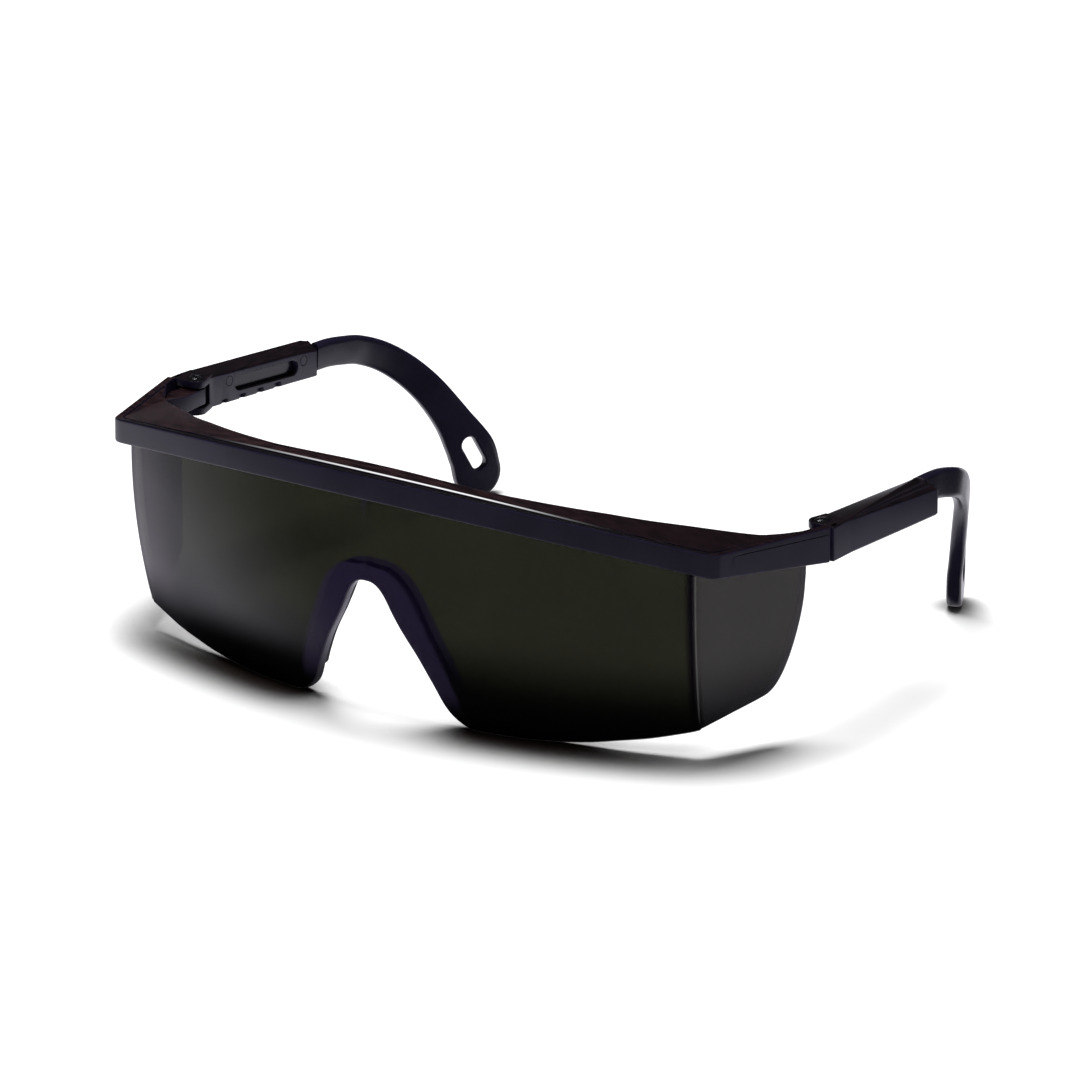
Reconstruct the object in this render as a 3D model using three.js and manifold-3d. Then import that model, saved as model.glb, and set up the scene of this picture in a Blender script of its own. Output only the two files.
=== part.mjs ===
// Safety spectacles for welding: a one-piece wraparound dark lens with side
// shields, a brow frame carrying two hinges, and two telescoping temples.
// Millimetres. X = width (symmetric about 0), Y = front to back (front is -Y),
// Z = up. The lower lens edges and the temple tips rest on Z = 0, and the origin
// lies under the middle of the overall length. "Right" is the +X side.
// Pieces are drawn with Z = 0 at the top edge of the brow corners and Y = 0 on
// the line through them, and are moved by CORNER_Z and MIDDLE_Y at the end.
import * as THREE from 'three';
import Module from 'manifold-3d';

const wasm = await Module();
wasm.setup();

// ---------------------------------------------------------- shared dimensions
const CORNER_Z = 44.5;       // height of the brow corners above the resting plane
const MIDDLE_Y = 48.03;      // middle of the overall length, behind the brow corners
const PLAN_R = 154.7;        // plan radius of the front
const BROW_RISE = 7.03;      // rise of the brow from corner to centre
const HALF_CORNER = 71.7;    // half width at which the rise reaches zero
const TOP_FALL = 0.026;      // fall of the top behind the corners, Z per Y
const LEDGE_T = 1.9;         // thickness of the top ledge
const CLEARANCE = 0.3;       // between lens and ledge, and round the tongue

// hinge: axis, screw radius and the heights of its three layers
const PIVOT_X = 75.4;
const PIVOT_Y = 32.4;
const SCREW_R = 0.8;
const SCREW_HEAD_R = 1.55;
const HEAD_BOTTOM = -1.8;
const SCREW_CLEARANCE = 0.08;   // radial, in the lugs and knuckle
const UPPER_LUG = [-2.75, -1.15];
const KNUCKLE = [-6.6, -3.1];
const LOWER_LUG = [-8.45, -6.95];

// sliding tongue, shared by sleeve and arm
const SLEEVE_X = 80;         // sleeve outer face at Y = SLEEVE_X_AT
const SLEEVE_X_AT = 30;
const TAPER = 0.06;          // temples lean inwards, X per Y
const TONGUE_DROP = 0.05;    // tongue drops towards the ear, Z per Y
const TONGUE_IN = 3;         // depth of the tongue's outer face from the sleeve's
const TONGUE_OUT = 4.7;      // depth of the tongue's inner face
const TONGUE_H = 4.2;

// -------------------------------------------------------------- mesh helpers
function signedVolume({ pos, idx }) {
  const corner = i => new THREE.Vector3().fromArray(pos, idx[i] * 3);
  let sum = 0;
  for (let i = 0; i < idx.length; i += 3) {
    sum += corner(i).dot(corner(i + 1).cross(corner(i + 2)));
  }
  return sum / 6;
}

// turns the triangles over if they face inwards
function faceOutward(mesh) {
  if (signedVolume(mesh) < 0) {
    const { idx } = mesh;
    for (let i = 0; i < idx.length; i += 3) {
      [idx[i + 1], idx[i + 2]] = [idx[i + 2], idx[i + 1]];
    }
  }
  return mesh;
}

function toSolid(mesh) {
  const { pos, idx } = faceOutward(mesh);
  return new wasm.Manifold(new wasm.Mesh({
    numProp: 3,
    vertProperties: new Float32Array(pos),
    triVerts: new Uint32Array(idx),
  }));
}

// positions and triangles of a solid; side = -1 mirrors it in X
function readMesh(solid, side) {
  const mesh = solid.getMesh();
  return {
    pos: Array.from(mesh.vertProperties, (value, i) => (i % 3 ? value : side * value)),
    idx: Array.from(mesh.triVerts),
  };
}
const mirrorX = solid => toSolid(readMesh(solid, -1));

function toGeometry(solid, side) {
  const { pos, idx } = faceOutward(readMesh(solid, side));
  const shift = [0, -MIDDLE_Y, CORNER_Z];
  const placed = pos.map((value, i) => value + shift[i % 3]);
  const geometry = new THREE.BufferGeometry();
  geometry.setAttribute('position', new THREE.Float32BufferAttribute(placed, 3));
  geometry.setIndex(idx);
  geometry.computeVertexNormals();
  return geometry;
}

// triangles closing one ring, numbered within it, following its winding
function capTriangles(ring) {
  const points = ring.map(p => new THREE.Vector3(...p));
  const normal = new THREE.Vector3();
  points.forEach((p, i) => {
    const q = points[(i + 1) % points.length];
    normal.x += (p.y - q.y) * (p.z + q.z);
    normal.y += (p.z - q.z) * (p.x + q.x);
    normal.z += (p.x - q.x) * (p.y + q.y);
  });
  normal.normalize();
  const helper = Math.abs(normal.z) < 0.9
    ? new THREE.Vector3(0, 0, 1)
    : new THREE.Vector3(1, 0, 0);
  const axisU = helper.cross(normal).normalize();
  const axisV = normal.clone().cross(axisU);
  const flat = points.map(p => new THREE.Vector2(p.dot(axisU), p.dot(axisV)));
  return THREE.ShapeUtils.triangulateShape(flat, []).map(([i, j, k]) => {
    const a = flat[i], b = flat[j], c = flat[k];
    const turn = (b.x - a.x) * (c.y - a.y) - (c.x - a.x) * (b.y - a.y);
    return turn > 0 ? [i, j, k] : [i, k, j];
  });
}

// solid through a run of rings, each a closed loop of [x, y, z]
function loft(rings) {
  const count = rings[0].length;
  const pos = rings.flat(2);
  const idx = [];
  const gap = (i, j) => new THREE.Vector3().fromArray(pos, 3 * i)
    .distanceToSquared(new THREE.Vector3().fromArray(pos, 3 * j));
  for (let k = 0; k + 1 < rings.length; k++) {
    for (let i = 0; i < count; i++) {
      const a = k * count + i;
      const b = k * count + (i + 1) % count;
      const c = a + count;
      const d = b + count;
      // each four-sided patch is split along its shorter diagonal
      if (gap(a, d) <= gap(b, c)) idx.push(a, b, d, a, d, c);
      else idx.push(a, b, c, b, d, c);
    }
  }
  for (const [i, j, k] of capTriangles(rings[0])) idx.push(i, k, j);
  const last = (rings.length - 1) * count;
  for (const triangle of capTriangles(rings.at(-1))) idx.push(...triangle.map(i => last + i));
  return toSolid({ pos, idx });
}

// flat outlines extruded along one axis
const prism = (outline, ends, place) =>
  loft(ends.map(end => outline.map(([u, v]) => place(u, v, end))));
const prismX = (outline, ends) => prism(outline, ends, (y, z, x) => [x, y, z]);
const prismY = (outline, ends) => prism(outline, ends, (x, z, y) => [x, y, z]);
const prismZ = (outline, ends) => prism(outline, ends, (x, y, z) => [x, y, z]);

// ------------------------------------------------------------- curve helpers
const circle = (cx, cy, radius, steps) => arc(cx, cy, radius, steps, 0, 2 * Math.PI).slice(0, -1);
function arc(cx, cy, radius, steps, from, to) {
  return Array.from({ length: steps + 1 }, (_, i) => {
    const angle = from + (to - from) * i / steps;
    return [cx + radius * Math.cos(angle), cy + radius * Math.sin(angle)];
  });
}

// slot with rounded ends, lengthwise along the first coordinate
const slotOutline = (from, to, radius, steps) => [
  ...arc(to, 0, radius, steps, -Math.PI / 2, Math.PI / 2),
  ...arc(from, 0, radius, steps, Math.PI / 2, 1.5 * Math.PI),
];

function range(from, to, step) {
  const values = [];
  for (let x = from; x <= to + 0.01; x += step) values.push(x);
  return values;
}

// value at x in a table of [x, value] rows
function lookUp(table, x) {
  if (x <= table[0][0]) return table[0][1];
  for (let i = 1; i < table.length; i++) {
    const [x0, value0] = table[i - 1];
    const [x1, value1] = table[i];
    if (x <= x1) return value0 + (value1 - value0) * (x - x0) / (x1 - x0);
  }
  return table.at(-1)[1];
}

function smooth(t) {
  const s = Math.min(1, Math.max(0, t));
  return s * s * (3 - 2 * s);
}

const quadratic = (start, control, end, t) =>
  (1 - t) ** 2 * start + 2 * t * (1 - t) * control + t * t * end;
const quadraticRun = (start, control, end, steps) =>
  Array.from({ length: steps + 1 }, (_, i) =>
    [0, 1].map(axis => quadratic(start[axis], control[axis], end[axis], i / steps)));

// a half line starting on the centre plane, completed with its mirror image
const bothSides = half => [...half.slice(1).reverse().map(([x, v]) => [-x, v]), ...half];

// unit vectors square to a plan path, pointing behind the front
function inwardNormals(path) {
  return path.map((_, i) => {
    const before = path[Math.max(0, i - 1)];
    const after = path[Math.min(path.length - 1, i + 1)];
    const dx = after[0] - before[0];
    const dy = after[1] - before[1];
    const length = Math.hypot(dx, dy);
    return [-dy / length, dx / length];
  });
}

// ---------------------------------------------------------------- brow frame
const BAND_Y0 = -16.62;      // front surface of the brow band at the centre
const BAND_H = 5.02;
const BAND_T = 1.3;
const SIDE_X0 = 72;          // side wall outer face at Y = 0
const SIDE_SLOPE = 0.272;    // side wall flare, X per Y
const SIDE_END_Y = 29;
const SIDE_T = 1.6;
const WALL_BEVEL = 0.35;     // on the outer edges of band and side walls
const CHANNEL_BACK = 3.9;    // rear wall of the lens channel, behind the band's face
const RETAINER_T = 1.3;      // wall behind the lens
const RETAINER_Z = [-1, -4.2];  // its top and bottom, from the frame's top
const RETAINER_HALF = 64.1;
const GROOVE_HALF = 63;      // half length of the crescent groove along the top
const GROOVE_W = 2.1;        // its width at the centre, nearly closing at the ends
const GROOVE_END_W = 0.06;
const GROOVE_D = 0.9;
const KNUCKLE_R = 2.1;
const LEDGE_HALF = 77.9;
const LEDGE_INSET = 0.75;    // front of the ledge behind the band's face
const LEDGE_BEND = [68, 71.9];  // |x| between which its front turns the corner
// rear edge of the ledge in plan: |x|, y
const LEDGE_REAR = [
  [0, -8.6], [12, -8.5], [24, -7.7], [33, -5.5], [41, -2.6], [47, 0.2], [54, 3.9],
  [61, 8.8], [65.5, 12.1], [69, 14.9], [72, 17.8], [74.6, 21], [76.4, 24], [77.9, 26.2],
];

const planDepth = x => x * x / (2 * PLAN_R);
const bandY = x => BAND_Y0 + planDepth(x);
const sideY = x => (x - SIDE_X0) / SIDE_SLOPE;
const topZ = (x, y) =>
  BROW_RISE * Math.max(0, 1 - (x / HALF_CORNER) ** 2) - TOP_FALL * Math.max(0, y);
// the side walls deepen towards the rear
const bottomZ = (x, y) =>
  topZ(x, y) - (y > 0 && Math.abs(x) > 70 ? BAND_H - 0.07 + 0.086 * y : BAND_H);

// plan of the outer surface
const wallPath = bothSides([
  ...range(0, 68, 4).map(x => [x, bandY(x)]),
  ...quadraticRun([68.6, bandY(68.6)], [72.04, 0.114], [72.5, sideY(72.5)], 5),
  ...[5, 9, 13, 17, 21, 25, SIDE_END_Y].map(y => [SIDE_X0 + SIDE_SLOPE * y, y]),
]);
const wallNormals = inwardNormals(wallPath);
// point at a depth inside the outer surface
const wallPoint = (i, depth, z) => [
  wallPath[i][0] + wallNormals[i][0] * depth,
  wallPath[i][1] + wallNormals[i][1] * depth,
  z,
];

// band in front, side walls behind the corners
function makeWall() {
  return loft(wallPath.map(([x, y], i) => {
    const thickness = BAND_T + (SIDE_T - BAND_T) * smooth((Math.abs(x) - 70.5) / 1.5);
    const top = topZ(x, y);
    const bottom = bottomZ(x, y);
    return [
      wallPoint(i, WALL_BEVEL, top),
      wallPoint(i, thickness, top),
      wallPoint(i, thickness, bottom),
      wallPoint(i, WALL_BEVEL, bottom),
      wallPoint(i, 0, bottom + WALL_BEVEL),
      wallPoint(i, 0, top - WALL_BEVEL),
    ];
  }));
}

// front edge of the ledge, buried in the wall
function ledgeFrontY(absX) {
  const [from, to] = LEDGE_BEND;
  const sideInsetY = x => sideY(x + 0.73);
  if (absX <= from) return bandY(absX) + LEDGE_INSET;
  if (absX >= to) return sideInsetY(absX);
  const t = (absX - from) / (to - from);
  return quadratic(bandY(from) + LEDGE_INSET, 0.9, sideInsetY(to), t);
}

function makeLedge() {
  const steps = 4;
  const rearBevel = 0.35;
  return loft(range(-LEDGE_HALF, LEDGE_HALF, LEDGE_HALF / 30).map(x => {
    const front = ledgeFrontY(Math.abs(x));
    const rear = Math.max(front + 0.3, lookUp(LEDGE_REAR, Math.abs(x)));
    const upper = [];
    const lower = [];
    for (let k = 0; k <= steps; k++) {
      const y = front + (rear - front) * k / steps;
      upper.push([x, y, topZ(x, y) - (k === steps ? rearBevel : 0)]);
      lower.unshift([x, y, topZ(x, y) - LEDGE_T]);
    }
    return [...upper, ...lower];
  }));
}

// wall behind the lens
function makeRetainer() {
  const [upper, lower] = RETAINER_Z;
  const back = CHANNEL_BACK + RETAINER_T;
  const rings = wallPath.map(([x, y], i) => [
    wallPoint(i, CHANNEL_BACK, topZ(x, y) + upper),
    wallPoint(i, back, topZ(x, y) + upper),
    wallPoint(i, back, topZ(x, y) + lower),
    wallPoint(i, CHANNEL_BACK, topZ(x, y) + lower),
  ]);
  return loft(rings.filter((_, i) => Math.abs(wallPath[i][0]) <= RETAINER_HALF));
}

// crescent groove behind the band's lip
function makeGroove() {
  return loft(range(-GROOVE_HALF, GROOVE_HALF, GROOVE_HALF / 20).map(x => {
    const y = bandY(x);
    const slope = x / PLAN_R;
    const length = Math.hypot(1, slope);
    const back = BAND_T + GROOVE_END_W + GROOVE_W * (1 - (x / GROOVE_HALF) ** 2);
    const point = (depth, z) =>
      [x - slope / length * depth, y + depth / length, topZ(x, y) + z];
    return [point(BAND_T, 1), point(back, 1), point(back, -GROOVE_D), point(BAND_T, -GROOVE_D)];
  }));
}

const makeScrewHole = () =>
  prismZ(circle(PIVOT_X, PIVOT_Y, SCREW_R + SCREW_CLEARANCE, 24), [-20, 5]);

// middle knuckle of the right hinge, growing out of the side wall
function makeKnuckle() {
  const plan = [
    ...arc(PIVOT_X, PIVOT_Y, KNUCKLE_R, 14, 0, Math.PI),
    [PIVOT_X - KNUCKLE_R, 26], [75.6, 22.4], [78.3, 26.2], [PIVOT_X + KNUCKLE_R, 29.6],
  ];
  return prismZ(plan, KNUCKLE).subtract(makeScrewHole());
}

function makeBrowFrame() {
  const knuckle = makeKnuckle();
  return makeWall()
    .add(makeLedge())
    .add(makeRetainer())
    .subtract(makeGroove())
    .add(knuckle)
    .add(mirrorX(knuckle));
}

// ---------------------------------------------------------------------- lens
const LENS_Y0 = -14.92;      // front surface at the centre
const LENS_T = 2;
const LENS_LEVELS = 9;       // steps from top to bottom
const LENS_BOTTOM = -47;     // before its lower edge is cut
const TUCK_TOP = -5;         // the lens curves back below this height
const TUCK_SPAN = 35;
const TUCK_Y = 4.84;         // how far back it has curved after TUCK_SPAN
const TUCK_X = 1.75;         // the same, inwards at the folds
const FOLD_X = 67.6;         // fold between front and side shield
const FOLD_START_X = 66.4;
const FOLD_REACH = 1.3;      // length in Y of the fold's curve behind its corner
const SHIELD_SLOPE = 0.344;  // side shield flare, X per Y
// right half of the cut below the lens, with the nose arch, from the front: x, z
const LOWER_CUT = [
  [0, -15.5], [1.4, -15.65], [2.6, -16.3], [3.7, -17.5], [4.7, -19.2], [5.6, -21.1],
  [7.2, -24.1], [8.9, -26.9], [10.6, -29.7], [12.2, -32.9], [13.7, -36.1], [15, -39.2],
  [16.2, -41.2], [17.8, -42.8], [19.7, -44], [21.8, -44.5], [31, -44.5], [37, -44.1],
  [45, -43.15], [51, -42], [57.2, -40.85], [65, -38.8], [68.5, -37.8], [90, -37.8], [90, -60],
];
// cut below and behind each side shield, from the side: y, z
const SHIELD_CUT = [
  [4.6, -38.25], [11.6, -36.3], [17.8, -34.6], [19.4, -34], [20.7, -32.9], [21.9, -31],
  [23.2, -27.6], [24.6, -21.8], [25.5, -16], [25.8, -10.2], [25.8, -7.4], [20.4, -7],
  [20.4, 5], [40, 5], [40, -60], [4.6, -60],
];

const lensFrontY = x => LENS_Y0 + planDepth(x);
const tuckAt = z => Math.max(0, (TUCK_TOP - z) / TUCK_SPAN) ** 2;

function lensPlan() {
  const foldY = lensFrontY(FOLD_X);
  return bothSides([
    ...range(0, 64, 4).map(x => [x, lensFrontY(x)]),
    ...quadraticRun(
      [FOLD_START_X, lensFrontY(FOLD_START_X)],
      [FOLD_X, foldY],
      [FOLD_X + SHIELD_SLOPE * FOLD_REACH, foldY + FOLD_REACH],
      4,
    ),
    ...[5, 10, 15, 20, 24, 28].map(y => [FOLD_X + SHIELD_SLOPE * (y - foldY), y]),
  ]);
}

function makeLens() {
  const plan = lensPlan();
  const normals = inwardNormals(plan);
  const blank = loft(plan.map(([x, y], i) => {
    const top = topZ(x, y) - LEDGE_T - CLEARANCE;
    const sideways = Math.sign(x) * TUCK_X * smooth((Math.abs(x) - 50) / 17);
    const point = (depth, z) => [
      x + normals[i][0] * depth - sideways * tuckAt(z),
      y + normals[i][1] * depth + TUCK_Y * tuckAt(z),
      z,
    ];
    const outer = [];
    const inner = [];
    for (let k = 0; k <= LENS_LEVELS; k++) {
      const z = top + (LENS_BOTTOM - top) * k / LENS_LEVELS;
      outer.push(point(0, z));
      inner.unshift(point(LENS_T, z));
    }
    return [...outer, ...inner];
  }));
  const shieldCut = prismX(SHIELD_CUT, [62.5, 95]);
  return blank
    .subtract(prismY(bothSides(LOWER_CUT), [-40, 14]))
    .subtract(shieldCut)
    .subtract(mirrorX(shieldCut));
}

// ----------------------------------------------------------------- nosepiece
const NOSE_GAP = 0.3;        // behind the lens
// right halves of its two edges from the front, matched row by row: x, z
const NOSE_INNER = [
  [0, -15], [2.7, -15.7], [4.3, -17.3], [5.9, -20.4], [7.7, -23.8],
  [9.4, -26.6], [11.1, -29.5], [12.7, -32.7], [14.3, -36.2], [15.3, -38.6],
];
const NOSE_OUTER = [
  [0, -11.8], [4.6, -12.3], [7.9, -14.4], [10.6, -18.1], [12.4, -22.2],
  [13.9, -25.7], [15.4, -29.1], [16.7, -32.5], [17.7, -35.8], [18.4, -38.3],
];

// saddle behind the lens around the nose arch
function makeNosepiece() {
  // the lens is thicker in Y than square to its surface, hence the factor
  const lensRearY = (x, z) =>
    lensFrontY(x) + TUCK_Y * tuckAt(z) + LENS_T * 1.06 + NOSE_GAP;
  const outerEdge = bothSides(NOSE_OUTER);
  return loft(bothSides(NOSE_INNER).map((inner, i) => {
    const outer = outerEdge[i];
    const middle = [(inner[0] + outer[0]) / 2, (inner[1] + outer[1]) / 2];
    const point = ([x, z], depth) => [x, lensRearY(x, z) + depth, z];
    return [
      point(inner, 0.1), point(middle, 0.15), point(outer, 0.9), point(outer, 2),
      point(middle, 1.7), point(inner, 1.9), point(inner, 1),
    ];
  }));
}

// -------------------------------------------------------------------- sleeve
const SLEEVE_W = 6;
const SLEEVE_END_Y = 70.6;
const END_RAMP_Y = 67.6;     // the top slopes down more steeply behind this
const LUG_R = 2.5;
const CHEEK_T = 1.3;         // outer wall reaching forward past the pivot
const CHEEK_BOTTOM = -8.3;
const SEAT_GAP = 0.15;       // round and under the screw head
const CHANNEL_Y = [39, 95];  // the tongue's channel, open at the rear
const WINDOW_Y = [44.6, 61.4];  // centres of the window's rounded ends
const WINDOW_R = 1.5;
const NOTCH_Y0 = 39.9;
const NOTCH_PITCH = 5.6;
const NOTCH_COUNT = 4;
const NOTCH_W = 1.9;
const INSIDE_X = 60;         // cuts through the inner wall start here, in the open

const outerX = y => SLEEVE_X - TAPER * (y - SLEEVE_X_AT);
const tongueZ = y => -6.95 - TONGUE_DROP * (y - 70);

// section of the tongue, grown by a margin all round
function tongueRing(y, margin) {
  const outer = outerX(y) - (TONGUE_IN - margin);
  const inner = outerX(y) - (TONGUE_OUT + margin);
  const top = tongueZ(y) + (TONGUE_H / 2 + margin);
  const bottom = tongueZ(y) - (TONGUE_H / 2 + margin);
  return [[outer, y, top], [inner, y, top], [inner, y, bottom], [outer, y, bottom]];
}

// eight-sided section with a ridge along the top
function sleeveRing(y) {
  const t = (y - 35) / 35;
  const ramp = Math.max(0, (y - END_RAMP_Y) / 3) * 0.75;
  const innerTop = -1.3 - 3 * t - ramp * 0.3;
  const innerBottom = -7.95 - 2.2 * t;
  const outerBottom = -8.55 - 2.5 * t;
  // depth from the outer face, z
  const section = [
    [0, -1.55 - 4 * t],
    [0.45 + 2.85 * Math.max(0, t), -1.2 - 1.55 * t - ramp],
    [SLEEVE_W - 0.4, innerTop],
    [SLEEVE_W, innerTop - 0.4],
    [SLEEVE_W, innerBottom],
    [SLEEVE_W - 0.9, innerBottom - 0.35],
    [0.5, outerBottom],
    [0, outerBottom + 0.5],
  ];
  return section.map(([depth, z]) => [outerX(y) - depth, y, z]);
}

function cheekRing(y) {
  const top = UPPER_LUG[1];
  const bottom = CHEEK_BOTTOM + (35 - y) * 0.02;
  const outer = outerX(y);
  const inner = outer - CHEEK_T;
  return [[outer, y, top], [inner, y, top], [inner, y, bottom], [outer, y, bottom]];
}

// slot through the inner wall, closing up on the tongue's centre line rearwards
function makeWindow() {
  const centreZ = y => tongueZ(y) + 0.65 - 0.65 * (y - 43) / 20;
  const outline = slotOutline(...WINDOW_Y, WINDOW_R, 10).map(([y, z]) => [y, z + centreZ(y)]);
  return prismX(outline, [INSIDE_X, outerX(50) - TONGUE_OUT + 0.2]);
}

// notch in the lower edge of the inner wall
function makeNotch(y) {
  const top = tongueZ(y) - 2.05;
  const bottom = top - 4;
  const front = y - NOTCH_W / 2;
  const rear = y + NOTCH_W / 2;
  const outline = [[front, bottom], [rear, bottom], [rear, top], [front, top]];
  return prismX(outline, [INSIDE_X, outerX(y) - TONGUE_OUT - 0.1]);
}

function makeSleeve() {
  const bodyY = [PIVOT_Y + 2.6, 38, 42, 46, 50, 54, 58, 62, 65, END_RAMP_Y, 69.2, SLEEVE_END_Y];
  const lugPlan = [
    [outerX(30.4) - 0.2, 30.4],
    [outerX(36) - 0.2, 36.2],
    [outerX(36) - SLEEVE_W + 0.3, 36.2],
    ...arc(PIVOT_X, PIVOT_Y, LUG_R, 14, Math.PI, 1.5 * Math.PI),
    [PIVOT_X + 1.2, 30],
  ];
  const headSeat = circle(PIVOT_X, PIVOT_Y, SCREW_HEAD_R + SEAT_GAP, 24);
  let sleeve = loft(bodyY.map(sleeveRing))
    .add(loft([29.8, 32.4, 36.5].map(cheekRing)))
    .add(prismZ(lugPlan, UPPER_LUG))
    .add(prismZ(lugPlan, LOWER_LUG))
    .subtract(makeScrewHole())
    .subtract(prismZ(headSeat, [HEAD_BOTTOM - SEAT_GAP, 1]))
    .subtract(loft(CHANNEL_Y.map(y => tongueRing(y, CLEARANCE))))
    .subtract(makeWindow());
  for (let k = 0; k < NOTCH_COUNT; k++) {
    sleeve = sleeve.subtract(makeNotch(NOTCH_Y0 + NOTCH_PITCH * k));
  }
  return sleeve;
}

// ----------------------------------------------- arm: tongue and ear piece
const TONGUE_Y = [40.6, 72.6];  // pushed in; the rear end is buried in the bar
const ARM_T = 2.6;
const TIP_EXTRA_T = 0.5;     // added thickness at the tip
const TIP_W = 10.6;
const ARM_STEPS = 26;
const ARM_EDGE = 0.9;        // size of the rounded edges
const TURN = [3.4, 27];      // degrees the blade is turned inwards, start and tip
const CORD_SLOT = { ahead: 2.2, halfLength: 2.2, radius: 1.6 };
const barX = y => outerX(y) - (TONGUE_IN + ARM_T / 2 + 0.05);
// centre line: x, y, z
const ARM_LINE = [
  [barX(71.1), 71.1, -6.75], [barX(75), 75, -7], [barX(79.4) - 0.25, 79.4, -7.65],
  [72.3, 84.5, -8.9], [70.5, 89.9, -11.3], [68.1, 94.8, -15], [65.4, 98.9, -19.7],
  [63, 102.2, -25], [60.9, 105, -30.6], [59.4, 106.85, -35.2], [58.85, 107.62, -39.15],
];
// share of the length, blade width
const ARM_WIDTH = [
  [0, 5.8], [0.25, 6.1], [0.5, 6.6], [0.68, 7.2], [0.77, 7.9], [0.86, 9.5], [0.92, 10.5],
  [1, TIP_W],
];
// rounding of the tip: degrees round it, share of the thickness, edge size
const TIP_ROUNDING = [
  [15, 1, ARM_EDGE], [30, 1, ARM_EDGE], [45, 1, ARM_EDGE], [58, 1, ARM_EDGE],
  [70, 0.93, ARM_EDGE], [80, 0.93, 0.3], [87, 0.93, 0.3],
];

// centre, and directions along, across the width and through the thickness
function armFrames() {
  const keys = ARM_LINE.map(p => new THREE.Vector3(...p));
  const line = new THREE.CatmullRomCurve3(keys, false, 'centripetal').getSpacedPoints(ARM_STEPS);
  return line.map((centre, i) => {
    const along = line[Math.min(ARM_STEPS, i + 1)].clone()
      .sub(line[Math.max(0, i - 1)])
      .normalize();
    const turned = smooth((i / ARM_STEPS - 0.12) / 0.45);
    const angle = (TURN[0] + (TURN[1] - TURN[0]) * turned) * Math.PI / 180;
    const through = new THREE.Vector3(Math.cos(angle), Math.sin(angle), 0);
    through.addScaledVector(along, -through.dot(along)).normalize();
    const across = along.clone().cross(through).normalize();
    return { centre, along, across, through };
  });
}

const framePoint = (frame, along, across, through) => frame.centre.clone()
  .addScaledVector(frame.along, along)
  .addScaledVector(frame.across, across)
  .addScaledVector(frame.through, through)
  .toArray();

// rectangular section with rounded corners, a distance along from its frame
function barRing(frame, along, width, thickness, edge) {
  const halfW = width / 2;
  const halfT = thickness / 2;
  const cut = Math.min(edge, halfW * 0.9, halfT * 0.9);
  const corner = [
    [halfW - cut, halfT],
    [halfW - 0.29 * cut, halfT - 0.29 * cut],
    [halfW, halfT - cut],
  ];
  return [[1, 1], [-1, 1], [-1, -1], [1, -1]].flatMap(([signW, signT]) => {
    const points = signW * signT > 0 ? corner.toReversed() : corner;
    return points.map(([w, t]) => framePoint(frame, along, signW * w, signT * t));
  });
}

function makeArm() {
  const frames = armFrames();
  const rings = frames.map((frame, i) => {
    const share = i / ARM_STEPS;
    const thickness = ARM_T + TIP_EXTRA_T * smooth((share - 0.25) / 0.4);
    return barRing(frame, 0, lookUp(ARM_WIDTH, share), thickness, ARM_EDGE);
  });
  const tipT = ARM_T + TIP_EXTRA_T;
  for (const [degrees, thickShare, edge] of TIP_ROUNDING) {
    const angle = degrees * Math.PI / 180;
    const along = Math.sin(angle) * TIP_W / 2;
    rings.push(barRing(frames.at(-1), along, TIP_W * Math.cos(angle), tipT * thickShare, edge));
  }
  const { ahead, halfLength, radius } = CORD_SLOT;
  const slotFrame = frames[ARM_STEPS - 3];
  const cordSlot = prism(
    slotOutline(ahead - halfLength, ahead + halfLength, radius, 12),
    [-6, 6],
    (along, across, through) => framePoint(slotFrame, along, across, through),
  );
  return loft(rings)
    .add(loft(TONGUE_Y.map(y => tongueRing(y, 0))))
    .subtract(cordSlot);
}

// --------------------------------------------------------------------- screw
const HEAD_RIM = -1.25;      // top of the head's straight side, floor of its slot
const DRIVER_SLOT = { halfLength: 2, halfWidth: 0.2 };
// radius, z
const SCREW_PROFILE = [
  [SCREW_R, -8.35], [SCREW_R, HEAD_BOTTOM], [SCREW_HEAD_R, HEAD_BOTTOM],
  [SCREW_HEAD_R, HEAD_RIM], [1.2, -0.95], [0.6, -0.85],
];

function makeScrew() {
  const { halfLength, halfWidth } = DRIVER_SLOT;
  const slot = [[-1, -1], [1, -1], [1, 1], [-1, 1]]
    .map(([signX, signY]) => [PIVOT_X + signX * halfLength, PIVOT_Y + signY * halfWidth]);
  return loft(SCREW_PROFILE.map(([radius, z]) =>
    circle(PIVOT_X, PIVOT_Y, radius, 24).map(([x, y]) => [x, y, z])))
    .subtract(prismZ(slot, [HEAD_RIM, 0]));
}

// ------------------------------------------------------------------ assembly
const material = (color, roughness, metalness = 0) =>
  new THREE.MeshStandardMaterial({ color, roughness, metalness });
const materials = {
  frame: material('#24212b', 0.45),
  lens: material('#161a12', 0.06),
  nose: material('#1b1922', 0.6),
  sleeve: material('#2a2730', 0.4),
  arm: material('#1d1b26', 0.35),
  steel: material('#b9bbc0', 0.3, 1),
};

const group = new THREE.Group();
group.name = 'welding_spectacles';

function addMesh(name, solid, meshMaterial, side = 1) {
  const mesh = new THREE.Mesh(toGeometry(solid, side), meshMaterial);
  mesh.name = name;
  group.add(mesh);
}
function addPair(name, solid, meshMaterial) {
  addMesh(`${name}_right`, solid, meshMaterial);
  addMesh(`${name}_left`, solid, meshMaterial, -1);
}

addMesh('brow_frame', makeBrowFrame(), materials.frame);
addMesh('lens', makeLens(), materials.lens);
addMesh('nosepiece', makeNosepiece(), materials.nose);
addPair('sleeve', makeSleeve(), materials.sleeve);
addPair('arm', makeArm(), materials.arm);
addPair('screw', makeScrew(), materials.steel);

export default group;
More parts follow.
